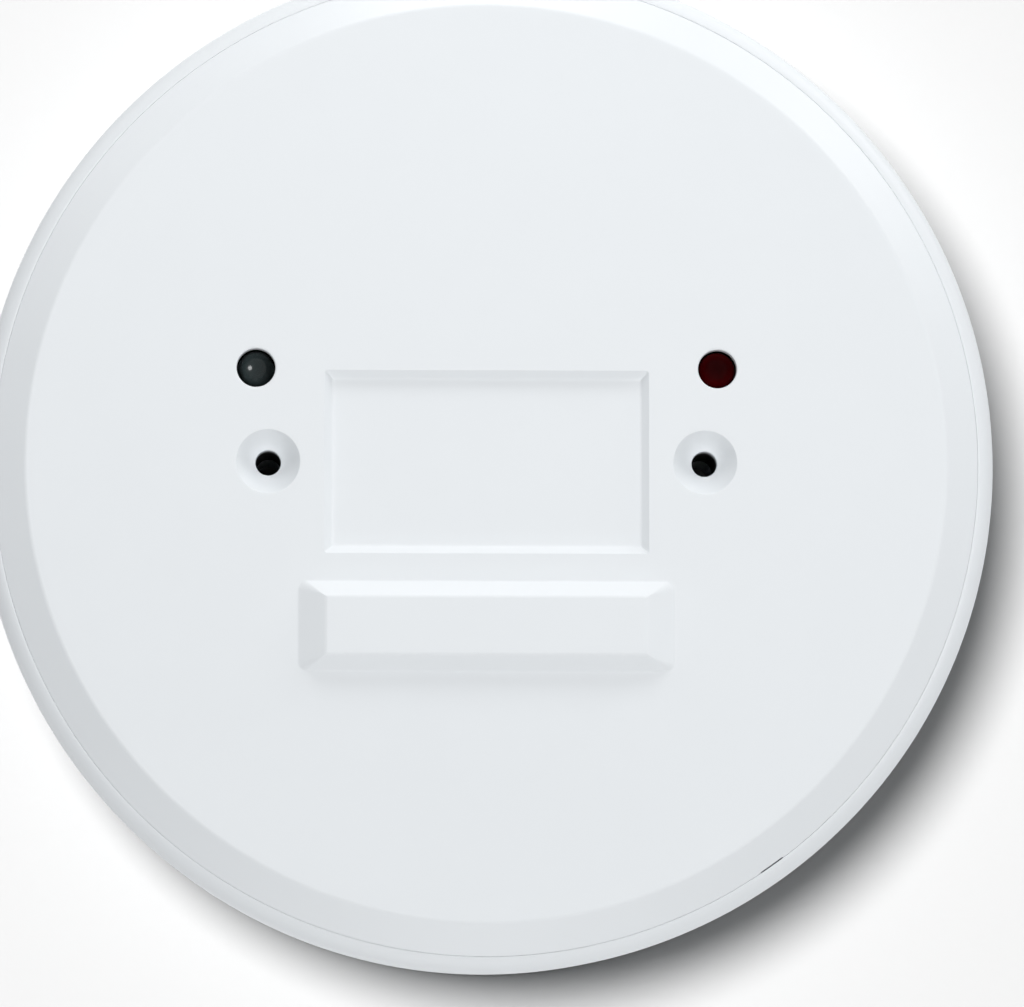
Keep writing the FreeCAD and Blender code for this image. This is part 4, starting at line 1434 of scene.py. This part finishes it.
@dataclass(frozen=True)
class CircuitBoard:
    """Round board with its tracks, pads, solder joints and printed outlines."""

    copper: float = 0.035
    copper_step: float = 0.002
    print_height: float = 0.02
    print_width: float = 0.18
    print_gap: float = 0.45
    pad_rim: float = 0.45
    pad_height: float = 0.015
    root: float = 0.1
    joint_height: float = 0.95
    power_width: float = 2.2
    signal_width: float = 0.5
    power: tuple[tuple[Point, ...], ...] = (
        ((-19.9, -0.7), (-23.5, 3.0), (-26.2, 8.0), (-26.2, 20.0), (-24.04, 22.5)),
        ((-12.75, 21.0), (-18.96, 22.5), (-19.2, 17.0), (-20.5, 14.0), (-20.5, 9.4)),
        ((-18.96, 22.5), (-21.5, 28.0), (-25.0, 31.0), (-25.0, 34.0)),
        ((-12.5, -0.7), (-12.5, 3.0), (-8.0, 5.6), (-5.5, 9.4), (-5.25, 21.0)),
        ((5.1, -0.7), (5.1, 8.0), (5.7, 15.6)),
        ((12.5, -0.7), (14.5, 3.0), (17.5, 9.0), (19.0, 15.0), (23.7, 18.8)),
        ((19.9, -0.7), (21.8, 4.0), (23.7, 8.0), (23.7, 12.4)),
    )
    signal: tuple[tuple[Point, ...], ...] = (
        ((-5.1, 2.4), (-5.1, 3.6), (-1.6, 6.0), (-1.6, 25.6), (0.2, 27.0), (24.0, 27.0), (27.4, 23.4),
         (29.7, 23.0)),
        ((29.7, 31.4), (27.0, 33.0), (18.9, 33.0)),
        ((18.9, 39.2), (20.0, 40.2), (26.0, 40.2), (28.0, 39.0)),
        ((15.1, 39.2), (12.4, 42.2)),
        ((16.4, 39.2), (15.8, 42.2)),
        ((17.6, 39.2), (19.2, 42.2)),
        ((32.97, 8.9), (36.4, 12.0), (36.4, 38.0), (31.0, 45.6), (26.0, 45.6)),
        ((-32.97, 8.9), (-36.4, 12.0), (-36.4, 38.0), (-27.0, 50.0), (-4.0, 52.0), (6.0, 48.0), (9.0, 45.8)),
        ((4.5, 39.4), (6.4, 41.0), (6.4, 44.0), (7.8, 44.0)),
        ((-0.5, 39.4), (-3.0, 41.0), (-4.6, 41.0)),
        ((-9.0, 31.0), (-9.0, 27.6), (-3.4, 27.6), (-3.4, 30.0)),
        ((-18.8, 45.4), (-18.8, 48.0), (-9.4, 48.0), (-9.4, 46.4)),
    )
    pins: tuple[str, ...] = (
        "component_leads", "lamp_leads", "relay_coil_pins", "relay_yoke", "relay_closed_contact",
        "relay_open_contact", "mains_terminal_contacts", "output_terminal_contacts",
    )
    outlined: tuple[str, ...] = (
        "relay_case", "suppressor_capacitor", "varistor", "dropper_resistor", "line_isolator",
        "controller_chip", "bridge_rectifier", "drive_transistor", "power_lamp", "alarm_lamp",
    )
    ringed: tuple[str, ...] = ("fuse", "reservoir_capacitor")

    def build(self, looks: Materials) -> None:
        """Dress the board and add its copper, solder and print.

        Args:
            looks: Materials by name.
        """
        board = Span.of("circuit_board")
        low, high = board.low[2], board.high[2]
        keep(looks["laminate"], 0.08, "circuit_board")
        keep(looks["screw_steel"], 0.12, "board_screws")

        copper = Shape()
        for index, path in enumerate(self.power):
            under = low - self.copper - index * self.copper_step
            copper.join(Shape().slab(Track(path, self.power_width), under, low + self.root, 0.02, 1))
        for path in self.signal:
            track = Track(path, self.signal_width)
            copper.join(Shape().slab(track, high - self.root, high + self.copper, 0.02, 1))
        copper.piece("board_tracks", Look("module", looks["masked_copper"], "board_laminate"))

        pads, joints = Shape(), Shape()
        for foot in (foot for node in self.pins for foot in feet(node)):
            reach = float(foot.size[:2].max()) / 2
            ring = Circle((float(foot.centre[0]), float(foot.centre[1])), reach + self.pad_rim, 28)
            pads.join(Shape().slab(ring, low - 2 * self.copper, low + self.root, 0.02, 1))
            pads.join(Shape().slab(ring, high - self.root, high + self.pad_height, 0.01, 1))
            joints.join(self.joint(ring, low, reach))
        pads.piece("board_pads", Look("module", looks["solder"], "tinned_wire"))
        joints.piece("solder_joints", Look("module", looks["solder"], "tinned_wire"), 60)

        print_shape = Shape()
        for node in self.outlined:
            span = Span.of(node)
            box = Oblong(tuple(span.centre[:2]), tuple(span.size[:2] + 2 * self.print_gap), 0.5, 3)
            print_shape.join(self.line(box, high))
        for node in self.ringed:
            span = Span.of(node)
            ring = Circle(tuple(span.centre[:2]), span.size[0] / 2 + self.print_gap, 64)
            print_shape.join(self.line(ring, high))
        print_shape.piece("board_print", Look("module", looks["white_print"], "board_laminate"))

    def joint(self, ring: Circle, low: float, reach: float) -> Shape:
        """Solder cone under the board: a hollow flank that climbs from the pad's rim to the pin.

        Formula: the flank's offset falls with the square root of its depth.

        Args:
            ring: Rim of the pad.
            low: Height of the board's underside.
            reach: Half width of the pin.

        Returns:
            The closed shape.
        """
        depth = np.linspace(0, 1, 7)
        offset = -0.05 - (self.pad_rim - 0.08 - 0.2 * reach) * np.sqrt(depth)
        profile = np.stack([offset, low - self.copper - self.joint_height * depth], axis=-1)
        return Shape().strip(ring, profile).lid(ring, profile[0, 0], profile[0, 1]).lid(
            ring, profile[-1, 0], profile[-1, 1])

    def line(self, outline: Outline, high: float) -> Shape:
        """Printed line round an outline, as a low closed band.

        Args:
            outline: Path of the line.
            high: Height of the board's top.

        Returns:
            The closed shape.
        """
        half = self.print_width / 2
        section = np.array([(-half, high - 0.05), (half, high - 0.05), (half, high + self.print_height),
                            (-half, high + self.print_height), (-half, high - 0.05)])
        return Shape().strip(outline, section)


@dataclass(frozen=True)
class Terminals:
    """Two three-pole terminal blocks with their contact strips, clamps and screws."""

    blocks: tuple[tuple[str, tuple[str, ...]], ...] = (
        ("mains", ("live", "neutral", "line")),
        ("output", ("common", "closed", "open")),
    )

    def build(self, looks: Materials) -> None:
        """Dress both blocks.

        Args:
            looks: Materials by name.
        """
        for name, poles in self.blocks:
            keep(looks["terminal_plastic"], 0.22, f"{name}_terminal_body")
            keep(looks["contact_metal"], 0.08, f"{name}_terminal_contacts")
            for pole in poles:
                keep(looks["clamp_steel"], 0.14, f"{name}_{pole}_clamp")
                keep(looks["screw_steel"], 0.1, f"{name}_{pole}_screw")


@dataclass(frozen=True)
class Relay:
    """Relay in a smoky clear case: magnet, wound coil, armature with its leaf, spring and fixed contacts."""

    wire: float = 0.30
    sleeve_radius: float = 2.6
    segments: int = 72
    rows_per_turn: int = 8

    def build(self, looks: Materials) -> None:
        """Dress the relay and wind its coil.

        Args:
            looks: Materials by name.
        """
        keep(looks["relay_case"], 0.25, "relay_case")
        keep(looks["relay_base"], 0.12, "relay_base")
        keep(looks["magnet_iron"], 0.12, "relay_yoke", "relay_core", "relay_armature")
        keep(looks["bobbin_plastic"], 0.12, "relay_bobbin")
        keep(looks["tinned"], 0.06, "relay_coil_pins")
        keep(looks["spring_brass"], 0.06, "relay_contact_leaf", "relay_hinge_spring",
             "relay_closed_contact", "relay_open_contact")
        self.winding(looks["winding_copper"])

    def winding(self, material: bpy.types.Material) -> None:
        """Wind the coil as one helical surface, closed by its ends and its inner wall.

        Formula: the radius is R - w/2 (1 - |cos(pi (z / w - t))|) for the wire width w, the turn share t and
        the outer radius R.

        Args:
            material: Finish of the enamelled wire.
        """
        span = Span.of("relay_winding")
        outer = span.size[0] / 2
        turns = max(int(span.size[2] / self.wire), 1)
        height = np.linspace(span.low[2] + 0.02, span.high[2] - 0.02, turns * self.rows_per_turn + 1)[:, None]
        share = np.arange(self.segments)[None] / self.segments
        ripple = 1 - np.abs(np.cos(math.pi * (height / self.wire - share)))
        reach = outer - self.wire / 2 * ripple
        inside_wall = np.full((1, self.segments), self.sleeve_radius)
        reach = np.concatenate([inside_wall, reach, inside_wall, inside_wall])
        height = np.concatenate([height[:1], height, height[-1:], height[:1]])
        turn = 2 * math.pi * share
        points = np.stack([span.centre[0] + reach * np.cos(turn), span.centre[1] + reach * np.sin(turn),
                           np.broadcast_to(height, reach.shape)], axis=-1)
        look = Look("module", material, "winding_copper", ("relay_winding",))
        Shape().grid(points).piece("relay_coil", look, 70)


@dataclass(frozen=True)
class BoardParts:
    """Parts of the supply and the logic."""

    can_groove: Point = (2.6, 0.35)
    sleeve_lip: float = 1.1
    cap_length: float = 2.4
    cap_rise: float = 0.22
    box_foot: tuple[float, float, float] = (1.4, 1.2, 0.6)
    termination: float = 0.45
    tab_size: tuple[float, float, float] = (0.5, 1.5, 1.1)
    mark_film: Point = (0.05, 0.012)

    def build(self, looks: Materials) -> None:
        """Make the larger parts and dress the small ones.

        Args:
            looks: Materials by name.
        """
        keep(looks["tinned"], 0.08, "component_leads", "lamp_leads", "chip_legs")
        keep(looks["spacer_plastic"], 0.2, "lamp_spacers")
        keep(looks["chip_plastic"], 0.12, "line_isolator", "controller_chip", "bridge_rectifier",
             "drive_transistor", "diodes")
        keep(looks["chip_plastic"], 0.04, "chip_resistors")
        self.suppressor(looks)
        self.varistor(looks)
        self.fuse(looks)
        self.reservoir(looks)
        self.dropper(looks)
        self.terminations(looks)
        self.marks(looks)

    @staticmethod
    def stand_in(shape: Shape, name: str, looks: Materials, slot: str, node: str,
                 sharp: float = SHARP) -> None:
        """Write a part that stands for a CAD node on the board.

        Args:
            shape: Shape of the part.
            name: Name of the piece.
            looks: Materials by name.
            slot: Material slot of the part, which its finish is named after.
            node: CAD node that it stands for.
            sharp: Angle in degrees past which an edge stays sharp.
        """
        shape.piece(name, Look("module", looks[slot], slot, (node,)), sharp)

    def suppressor(self, looks: Materials) -> None:
        """Box capacitor: a moulded box on four low feet, with a shallow draft and soft edges.

        Args:
            looks: Materials by name.
        """
        span = Span.of("suppressor_capacitor")
        box = Oblong(tuple(span.centre[:2]), tuple(span.size[:2]), 0.8, 5)
        low, high = span.low[2], span.high[2]
        side = rounded([(-1.2, low + 0.4), (-0.1, low + 0.4), (0, low + 2), (-0.12, high), (-1.5, high)],
                       [0.2, 1.0, 0.7], 5)
        shape = Shape().strip(box, side).lid(box, side[0, 0], side[0, 1]).lid(box, side[-1, 0], side[-1, 1])
        for x in (-1, 1):
            for y in (-1, 1):
                place = span.centre[:2] + np.array((x, y)) * (span.size[:2] / 2 - 1.1)
                foot = Oblong(tuple(place), self.box_foot[:2], 0.2, 2)
                shape.join(Shape().slab(foot, low, low + self.box_foot[2], 0.08, 2))
        self.stand_in(shape, "suppressor_box", looks, "capacitor_plastic", "suppressor_capacitor")

    def varistor(self, looks: Materials) -> None:
        """Dipped disc on its edge: a soft-edged disc that runs down onto its leads.

        Formula: the half width at a radius r is W (1 - (r / R)^6)^(1/2).

        Args:
            looks: Materials by name.
        """
        span = Span.of("varistor")
        radius, half = (span.high[2] - span.low[2] - 0.5) / 2, span.size[1] / 2
        share = np.sin(np.linspace(0, math.pi / 2, 22))
        bulge = half * np.sqrt(np.clip(1 - share ** 6, 0, 1))
        front = np.stack([radius * share, bulge], axis=-1)
        back = np.stack([radius * share, -bulge], axis=-1)[::-1][1:]
        disc = Shape().strip(Circle(count=72), np.concatenate([front, back]))
        centre = (span.centre[0], span.centre[1], span.high[2] - radius)
        shape = disc.moved(Matrix.Translation(centre) @ Matrix.Rotation(math.pi / 2, 4, "X"))
        foot = Oblong(tuple(span.centre[:2]), (9.1, 1.6), 0.8, 6)
        shape.join(Shape().slab(foot, span.low[2], span.low[2] + 2.5, 0.6, 4))
        self.stand_in(shape, "varistor_disc", looks, "varistor_coating", "varistor", 50)

    def fuse(self, looks: Materials) -> None:
        """Round radial fuse: a cup with a parting groove under its cap and a crowned top.

        Args:
            looks: Materials by name.
        """
        span = Span.of("fuse")
        r, low, high = span.size[0] / 2, span.low[2], span.high[2]
        side = rounded([(0, low + 0.3), (r - 0.6, low + 0.3), (r - 0.6, low), (r, low), (r, low + 1.4),
                        (r - 0.18, low + 1.5), (r - 0.18, low + 1.7), (r, low + 1.8), (r, high - 0.15),
                        (r - 1.4, high), (0, high)],
                       [0.1, 0.1, 0.15, 0.05, 0.05, 0.05, 0.05, 0.5, 0.6], 4)
        shape = Shape().strip(Circle(tuple(span.centre[:2]), 0, 72), side)
        self.stand_in(shape, "fuse_cup", looks, "fuse_plastic", "fuse")

    def reservoir(self, looks: Materials) -> None:
        """Electrolytic can: a shrunk sleeve with a groove and a lip, and the bare scored end in the lip.

        Args:
            looks: Materials by name.
        """
        span = Span.of("reservoir_capacitor")
        r, low, high = span.size[0] / 2, span.low[2], span.high[2]
        groove, depth = self.can_groove
        lip = r - self.sleeve_lip
        axis = Circle(tuple(span.centre[:2]), 0, 96)
        side = rounded([(0, low + 0.5), (r - 1.4, low + 0.5), (r - 1.0, low), (r - 0.25, low), (r, low + 0.6),
                        (r, low + groove - 0.6), (r - depth, low + groove), (r, low + groove + 0.6),
                        (r, high - 0.2), (lip, high - 0.02), (lip, high - 0.2), (lip - 0.3, high - 0.2)],
                       [0.1, 0.2, 0.2, 0.3, 0.4, 0.5, 0.4, 0.45, 0.08, 0.02], 5)
        sleeve = Shape().strip(axis, side).lid(axis, side[-1, 0], side[-1, 1])
        self.stand_in(sleeve, "reservoir_sleeve", looks, "capacitor_sleeve", "reservoir_capacitor")
        disc = Circle(tuple(span.centre[:2]), lip - 0.02, 72)
        end = Shape().slab(disc, high - 0.3, high - 0.1, 0.06, 3)
        centre = Vector((*span.centre[:2], 0))
        for angle in (0, 60, 120):
            score = Shape().slab(Oblong((0, 0), (5.2, 0.3), 0.14, 3), high - 0.16, high - 0.05, 0.05, 2)
            end.join(score.moved(Matrix.Translation(centre) @ Matrix.Rotation(math.radians(angle), 4, "Z")))
        end.piece("reservoir_end", Look("module", looks["clamp_steel"], "tinned_wire"))

    def dropper(self, looks: Materials) -> None:
        """Film resistor: a banded body with its two end caps standing proud.

        Args:
            looks: Materials by name.
        """
        span = Span.of("dropper_resistor")
        r, half, rise = span.size[2] / 2, span.size[0] / 2, self.cap_rise
        side = rounded([(0.6, -half), (r - 0.15, -half + 0.1), (r, -half + 0.8), (r, -half + self.cap_length),
                        (r - rise, -half + self.cap_length + 0.7), (r - rise, half - self.cap_length - 0.7),
                        (r, half - self.cap_length), (r, half - 0.8), (r - 0.15, half - 0.1), (0.6, half)],
                       [0.3, 0.6, 0.5, 0.8, 0.8, 0.5, 0.6, 0.3], 5)
        axis = Circle(count=56)
        shape = Shape().strip(axis, side).lid(axis, 0.6, -half).lid(axis, 0.6, half)
        shape = shape.moved(Matrix.Translation(tuple(span.centre)) @ Matrix.Rotation(math.pi / 2, 4, "Y"))
        self.stand_in(shape, "dropper_body", looks, "resistor_coating", "dropper_resistor")

    def terminations(self, looks: Materials) -> None:
        """Tinned ends of the chip resistors, and the tabs of the diodes.

        Args:
            looks: Materials by name.
        """
        shape = Shape()
        for points in solids("chip_resistors"):
            span = Span.around(points)
            for side in (-1, 1):
                y = span.centre[1] + side * (span.size[1] - self.termination) / 2
                cap = Oblong((span.centre[0], y), (span.size[0] + 0.03, self.termination), 0.08, 2)
                shape.join(Shape().slab(cap, span.low[2], span.high[2] + 0.02, 0.07, 2))
        for points in solids("diodes"):
            span = Span.around(points)
            for side in (-1, 1):
                tab = Oblong((span.centre[0] + side * (span.size[0] / 2 - 0.05), span.centre[1]),
                             self.tab_size[:2], 0.1, 2)
                shape.join(Shape().slab(tab, span.low[2], span.low[2] + self.tab_size[2], 0.08, 2))
        shape.piece("chip_ends", Look("module", looks["solder"], "tinned_wire"))

    def marks(self, looks: Materials) -> None:
        """Printed dot beside the first leg of each chip, and the bar at one end of each diode.

        Args:
            looks: Materials by name.
        """
        shape = Shape()
        root, film = self.mark_film
        for node in ("line_isolator", "controller_chip", "bridge_rectifier"):
            span = Span.of(node)
            dot = Circle((span.low[0] + 0.8, span.low[1] + 0.8), 0.28, 24)
            shape.join(Shape().slab(dot, span.high[2] - root, span.high[2] + film, 0.01, 1))
        for points in solids("diodes"):
            span = Span.around(points)
            bar = Oblong((span.low[0] + 0.75, span.centre[1]), (0.5, span.size[1] - 0.3), 0.05, 1)
            shape.join(Shape().slab(bar, span.high[2] - root, span.high[2] + film, 0.01, 1))
        shape.piece("chip_marks", Look("module", looks["grey_print"], "chip_plastic"))


FINISHES: tuple[Finish, ...] = (
    # The cover's colour has painted shade deep in its two fixing bores
    Moulded("cover_white", (0.80, 0.83, 0.855), cloud=0.004, shaded_bores=(30.0, 1.9, 25.2)),
    Moulded("dish_white", (0.79, 0.82, 0.845), roughness=0.46, cloud=0.004),
    Resin("smoky_resin", (0.019, 0.029, 0.030), 0.17, 1.5, 0.3, 0.125),
    Resin("red_resin", (0.13, 0.0005, 0.002), 0.10, 1.25, 0.15, 0.03),
    Resin("relay_case", (0.62, 0.66, 0.70), 0.05, 1.5, 0.92),
    Laminate("laminate", (0.030, 0.150, 0.070), (0.42, 0.38, 0.20), (6.0, 7.6)),
    Moulded("masked_copper", (0.055, 0.235, 0.095), 0.26, 1.2, 0.004, 0.06, coat=0.4),
    Moulded("white_print", (0.78, 0.78, 0.74), 0.55, 0.3, 0.004, 0.05),
    Moulded("grey_print", (0.52, 0.52, 0.50), 0.55, 0.2, 0.003, 0.05),
    Plated("solder", (0.72, 0.72, 0.71), (0.58, 0.58, 0.57), 0.26, Lay.NONE, 0.5, 0.01),
    Plated("tinned", (0.75, 0.75, 0.74), (0.64, 0.64, 0.62), 0.28, Lay.UPRIGHT, 0.10, 0.002),
    Plated("screw_steel", (0.72, 0.72, 0.70), (0.62, 0.61, 0.58), 0.30, Lay.NONE, 0.10, 0.0015),
    Plated("clamp_steel", (0.66, 0.66, 0.64), (0.56, 0.55, 0.52), 0.38, Lay.ALONG_Y, 0.10, 0.002),
    Plated("contact_metal", (0.80, 0.78, 0.70), (0.70, 0.66, 0.56), 0.26, Lay.ALONG_X, 0.10, 0.002),
    Moulded("terminal_plastic", (0.045, 0.22, 0.085), 0.40, 0.12, 0.010, 0.05),
    Moulded("relay_base", (0.030, 0.030, 0.034), 0.48, 0.10, 0.012, 0.10),
    Plated("magnet_iron", (0.56, 0.56, 0.55), (0.46, 0.45, 0.43), 0.40, Lay.ALONG_X, 0.12, 0.003),
    Moulded("bobbin_plastic", (0.80, 0.77, 0.68), 0.42, 0.12, 0.008, 0.03),
    Plated("winding_copper", (0.72, 0.24, 0.07), (0.50, 0.14, 0.04), 0.24, Lay.NONE, 0.12, 0.002),
    Plated("spring_brass", (0.80, 0.54, 0.23), (0.72, 0.46, 0.19), 0.28, Lay.ALONG_X, 0.08, 0.0015),
    Moulded("spacer_plastic", (0.020, 0.020, 0.022), 0.45, 0.12, 0.012, 0.10),
    Moulded("chip_plastic", (0.022, 0.022, 0.024), 0.52, 0.06, 0.012, 0.10),
    Moulded("capacitor_plastic", (0.68, 0.50, 0.045), 0.36, 0.16, 0.012, 0.04),
    Moulded("varistor_coating", (0.030, 0.085, 0.300), 0.34, 0.40, 0.030, 0.08, coat=0.3),
    Moulded("fuse_plastic", (0.130, 0.030, 0.020), 0.42, 0.14, 0.012, 0.06),
    Banded("capacitor_sleeve", (0.020, 0.020, 0.035), (0.42, 0.43, 0.45), 0, ((-3.0, -1.6),), 0.26),
    Banded("resistor_coating", (0.16, 0.30, 0.36), (0.30, 0.05, 0.02), 0,
           ((-20.6, -19.8), (-18.9, -18.1), (-17.2, -16.4), (-14.2, -13.4)), 0.34),
)


# Studio


@dataclass(frozen=True)
class Glow:
    """Soft round light, given by its direction in degrees and its level on a surface that faces it."""

    name: str
    azimuth: float
    height: float
    level: float
    width: float
    distance: float = 2000.0

    def build(self, receivers: bpy.types.Collection) -> None:
        """Make the light as a disc that looks at the part.

        Formula: a disc of power P at a distance D gives P / (pi D D) on a surface that faces it.

        Args:
            receivers: Collection that says what the light falls on.
        """
        turn, rise = math.radians(self.azimuth), math.radians(self.height)
        away = Vector((math.cos(turn) * math.cos(rise), math.sin(turn) * math.cos(rise), math.sin(rise)))
        data = bpy.data.lights.new(self.name, "AREA")
        data.shape = "DISK"
        data.size = 2 * self.distance * MM * math.tan(math.radians(self.width / 2))
        data.energy = self.level * (math.pi * self.distance * MM) ** 2
        made = bpy.data.objects.new(self.name, data)
        made.location = away * self.distance * MM
        made.rotation_euler = away.to_track_quat("Z", "Y").to_euler()
        made.visible_camera = False
        made.light_linking.receiver_collection = receivers
        bpy.context.scene.collection.objects.link(made)


@dataclass(frozen=True)
class Studio:
    """White floor, soft lights and the camera."""

    floor_size: float = 6000.0
    floor_colour: Colour = (0.50, 0.50, 0.50)
    sky_level: float = 0.10
    sky_colour: Colour = (0.975, 0.99, 1.0)
    floor_drop: float = 0.02
    floor_grain: Point = (1.2, 0.005)
    tilt_up: float = 5.0
    tilt_side: float = 1.6
    roll: float = 0.03
    distance: float = 1100.0
    lens: float = 281.17
    target: tuple[float, float, float] = (3.54, -5.47, 25.0)
    glows: tuple[Glow, ...] = (
        Glow("top_light", 90.0, 24.0, 0.29, 16.0, 450.0),
        Glow("top_high", 90.0, 68.0, 0.16, 40.0, 450.0),
        Glow("bottom_light", -90.0, 45.0, 0.28, 40.0, 1000.0),
        Glow("bottom_low", -90.0, 12.0, 0.06, 18.0, 1000.0),
        Glow("right_high", -45.0, 68.0, 0.19, 40.0, 1000.0),
        Glow("right_light", 0.0, 56.0, 0.12, 40.0, 1000.0),
        Glow("corner_right", 45.0, 12.0, 0.24, 18.0, 1000.0),
        Glow("corner_left", 135.0, 12.0, 0.12, 18.0, 1000.0),
        Glow("left_high", 150.0, 68.0, 0.11, 40.0, 1000.0),
    )
    lamp_glow: Glow = Glow("lamp_light", 172.0, 50.0, 0.95, 24.0)
    floor_glow: Glow = Glow("floor_light", 145.0, 74.0, 1.86, 23.0, 9000.0)

    def floor(self) -> bpy.types.Object:
        """Make a level white floor just under the part.

        Returns:
            The floor.
        """
        reach = np.linspace(-0.5, 0.5, 9) * self.floor_size
        x, y = np.meshgrid(reach, reach, indexing="ij")
        sheet = Shape().grid(np.stack([x, y, np.full_like(x, -self.floor_drop)], axis=-1), closed=False)
        mesh = bpy.data.meshes.new("floor")
        mesh.from_pydata((np.concatenate(sheet.points) * MM).tolist(), [], sheet.faces)
        made = bpy.data.objects.new("floor", mesh)
        bpy.context.scene.collection.objects.link(made)
        nodes = Nodes.of("floor_paper")
        size, share = self.floor_grain
        grain = nodes.noise(size, 3.0)
        darker, lighter = toned(self.floor_colour, 1 - share), toned(self.floor_colour, 1 + share)
        colour = nodes.mixed(grain, darker, lighter)
        made.data.materials.append(nodes.finish("ShaderNodeBsdfDiffuse", {"Color": colour}))
        return made

    def sky(self) -> None:
        """Light the part faintly from all round, and show white behind it, in gloss and through glass."""
        world = bpy.data.worlds.new("studio")
        bpy.context.scene.world = world
        nodes = Nodes(world)
        path = nodes.node("ShaderNodeLightPath").outputs
        rays = ("Is Camera Ray", "Is Glossy Ray", "Is Transmission Ray")
        white = sum(Value(nodes, path[ray]) for ray in rays)
        level = nodes.node("ShaderNodeMapRange", {}, {"Value": white, "To Min": self.sky_level})
        back = nodes.node("ShaderNodeBackground", {},
                          {"Color": (*self.sky_colour, 1.0), "Strength": level.outputs[0]})
        nodes.node("ShaderNodeOutputWorld", {}, {"Surface": back.outputs[0]})

    def group(self, name: str, pieces: Sequence[bpy.types.Object], leave_out: bool) -> bpy.types.Collection:
        """Group pieces that a light falls on alone, or that it leaves out.

        Args:
            name: Name of the group.
            pieces: Pieces in the group.
            leave_out: Whether the light falls on everything but these pieces.

        Returns:
            The group.
        """
        made = bpy.data.collections.new(name)
        for piece in pieces:
            made.objects.link(piece)
        for entry in made.collection_objects:
            entry.light_linking.link_state = "EXCLUDE" if leave_out else "INCLUDE"
        return made

    def lights(self, floor: bpy.types.Object) -> None:
        """Light the part from all sides, the smoky lamp by itself, and the floor for its short shadow.

        Args:
            floor: Floor, which the part's lights leave out.
        """
        lamps = [bpy.data.objects[name] for name in ("power_lamp_lens", "alarm_lamp_lens")]
        part_only = self.group("part_only", [floor, *lamps], True)
        for glow in self.glows:
            glow.build(part_only)
        self.lamp_glow.build(self.group("lamp_only", lamps[:1], False))
        self.floor_glow.build(self.group("floor_only", [floor], False))

    def camera(self) -> None:
        """Make the camera, a little below and left of the axis and turned about its line of sight."""
        up, side = math.radians(self.tilt_up), math.radians(self.tilt_side)
        away = Vector((-math.sin(side) * math.cos(up), -math.sin(up), math.cos(side) * math.cos(up)))
        data = bpy.data.cameras.new("camera")
        data.lens = self.lens
        data.sensor_width = 36.0
        data.clip_end = 20.0
        made = bpy.data.objects.new("camera", data)
        made.location = (Vector(self.target) + away * self.distance) * MM
        right = Vector((0, 1, 0)).cross(away).normalized()
        above = away.cross(right)
        turn = Matrix.Rotation(math.radians(self.roll), 3, away)
        basis = Matrix((turn @ right, turn @ above, away)).transposed()
        made.rotation_euler = basis.to_euler()
        bpy.context.scene.collection.objects.link(made)
        bpy.context.scene.camera = made

    def build(self) -> None:
        """Make the floor, the lights and the camera, and set the plain view transform."""
        self.lights(self.floor())
        self.sky()
        self.camera()
        bpy.context.scene.view_settings.view_transform = "Standard"


def main() -> None:
    """Build every sub-assembly in order and report it."""
    logging.basicConfig(level=logging.INFO, format="%(name)s %(message)s")
    looks = {finish.name: finish.material() for finish in FINISHES}
    Housing().build(looks["cover_white"], looks["dish_white"])
    Lamp("power_lamp", -31.7).build(looks["smoky_resin"], looks["tinned"], "power_lens")
    Lamp("alarm_lamp", 31.7).build(looks["red_resin"], looks["tinned"], "alarm_lens")
    CircuitBoard().build(looks)
    Terminals().build(looks)
    Relay().build(looks)
    BoardParts().build(looks)
    Studio().build()


if __name__ == "__main__":
    main()
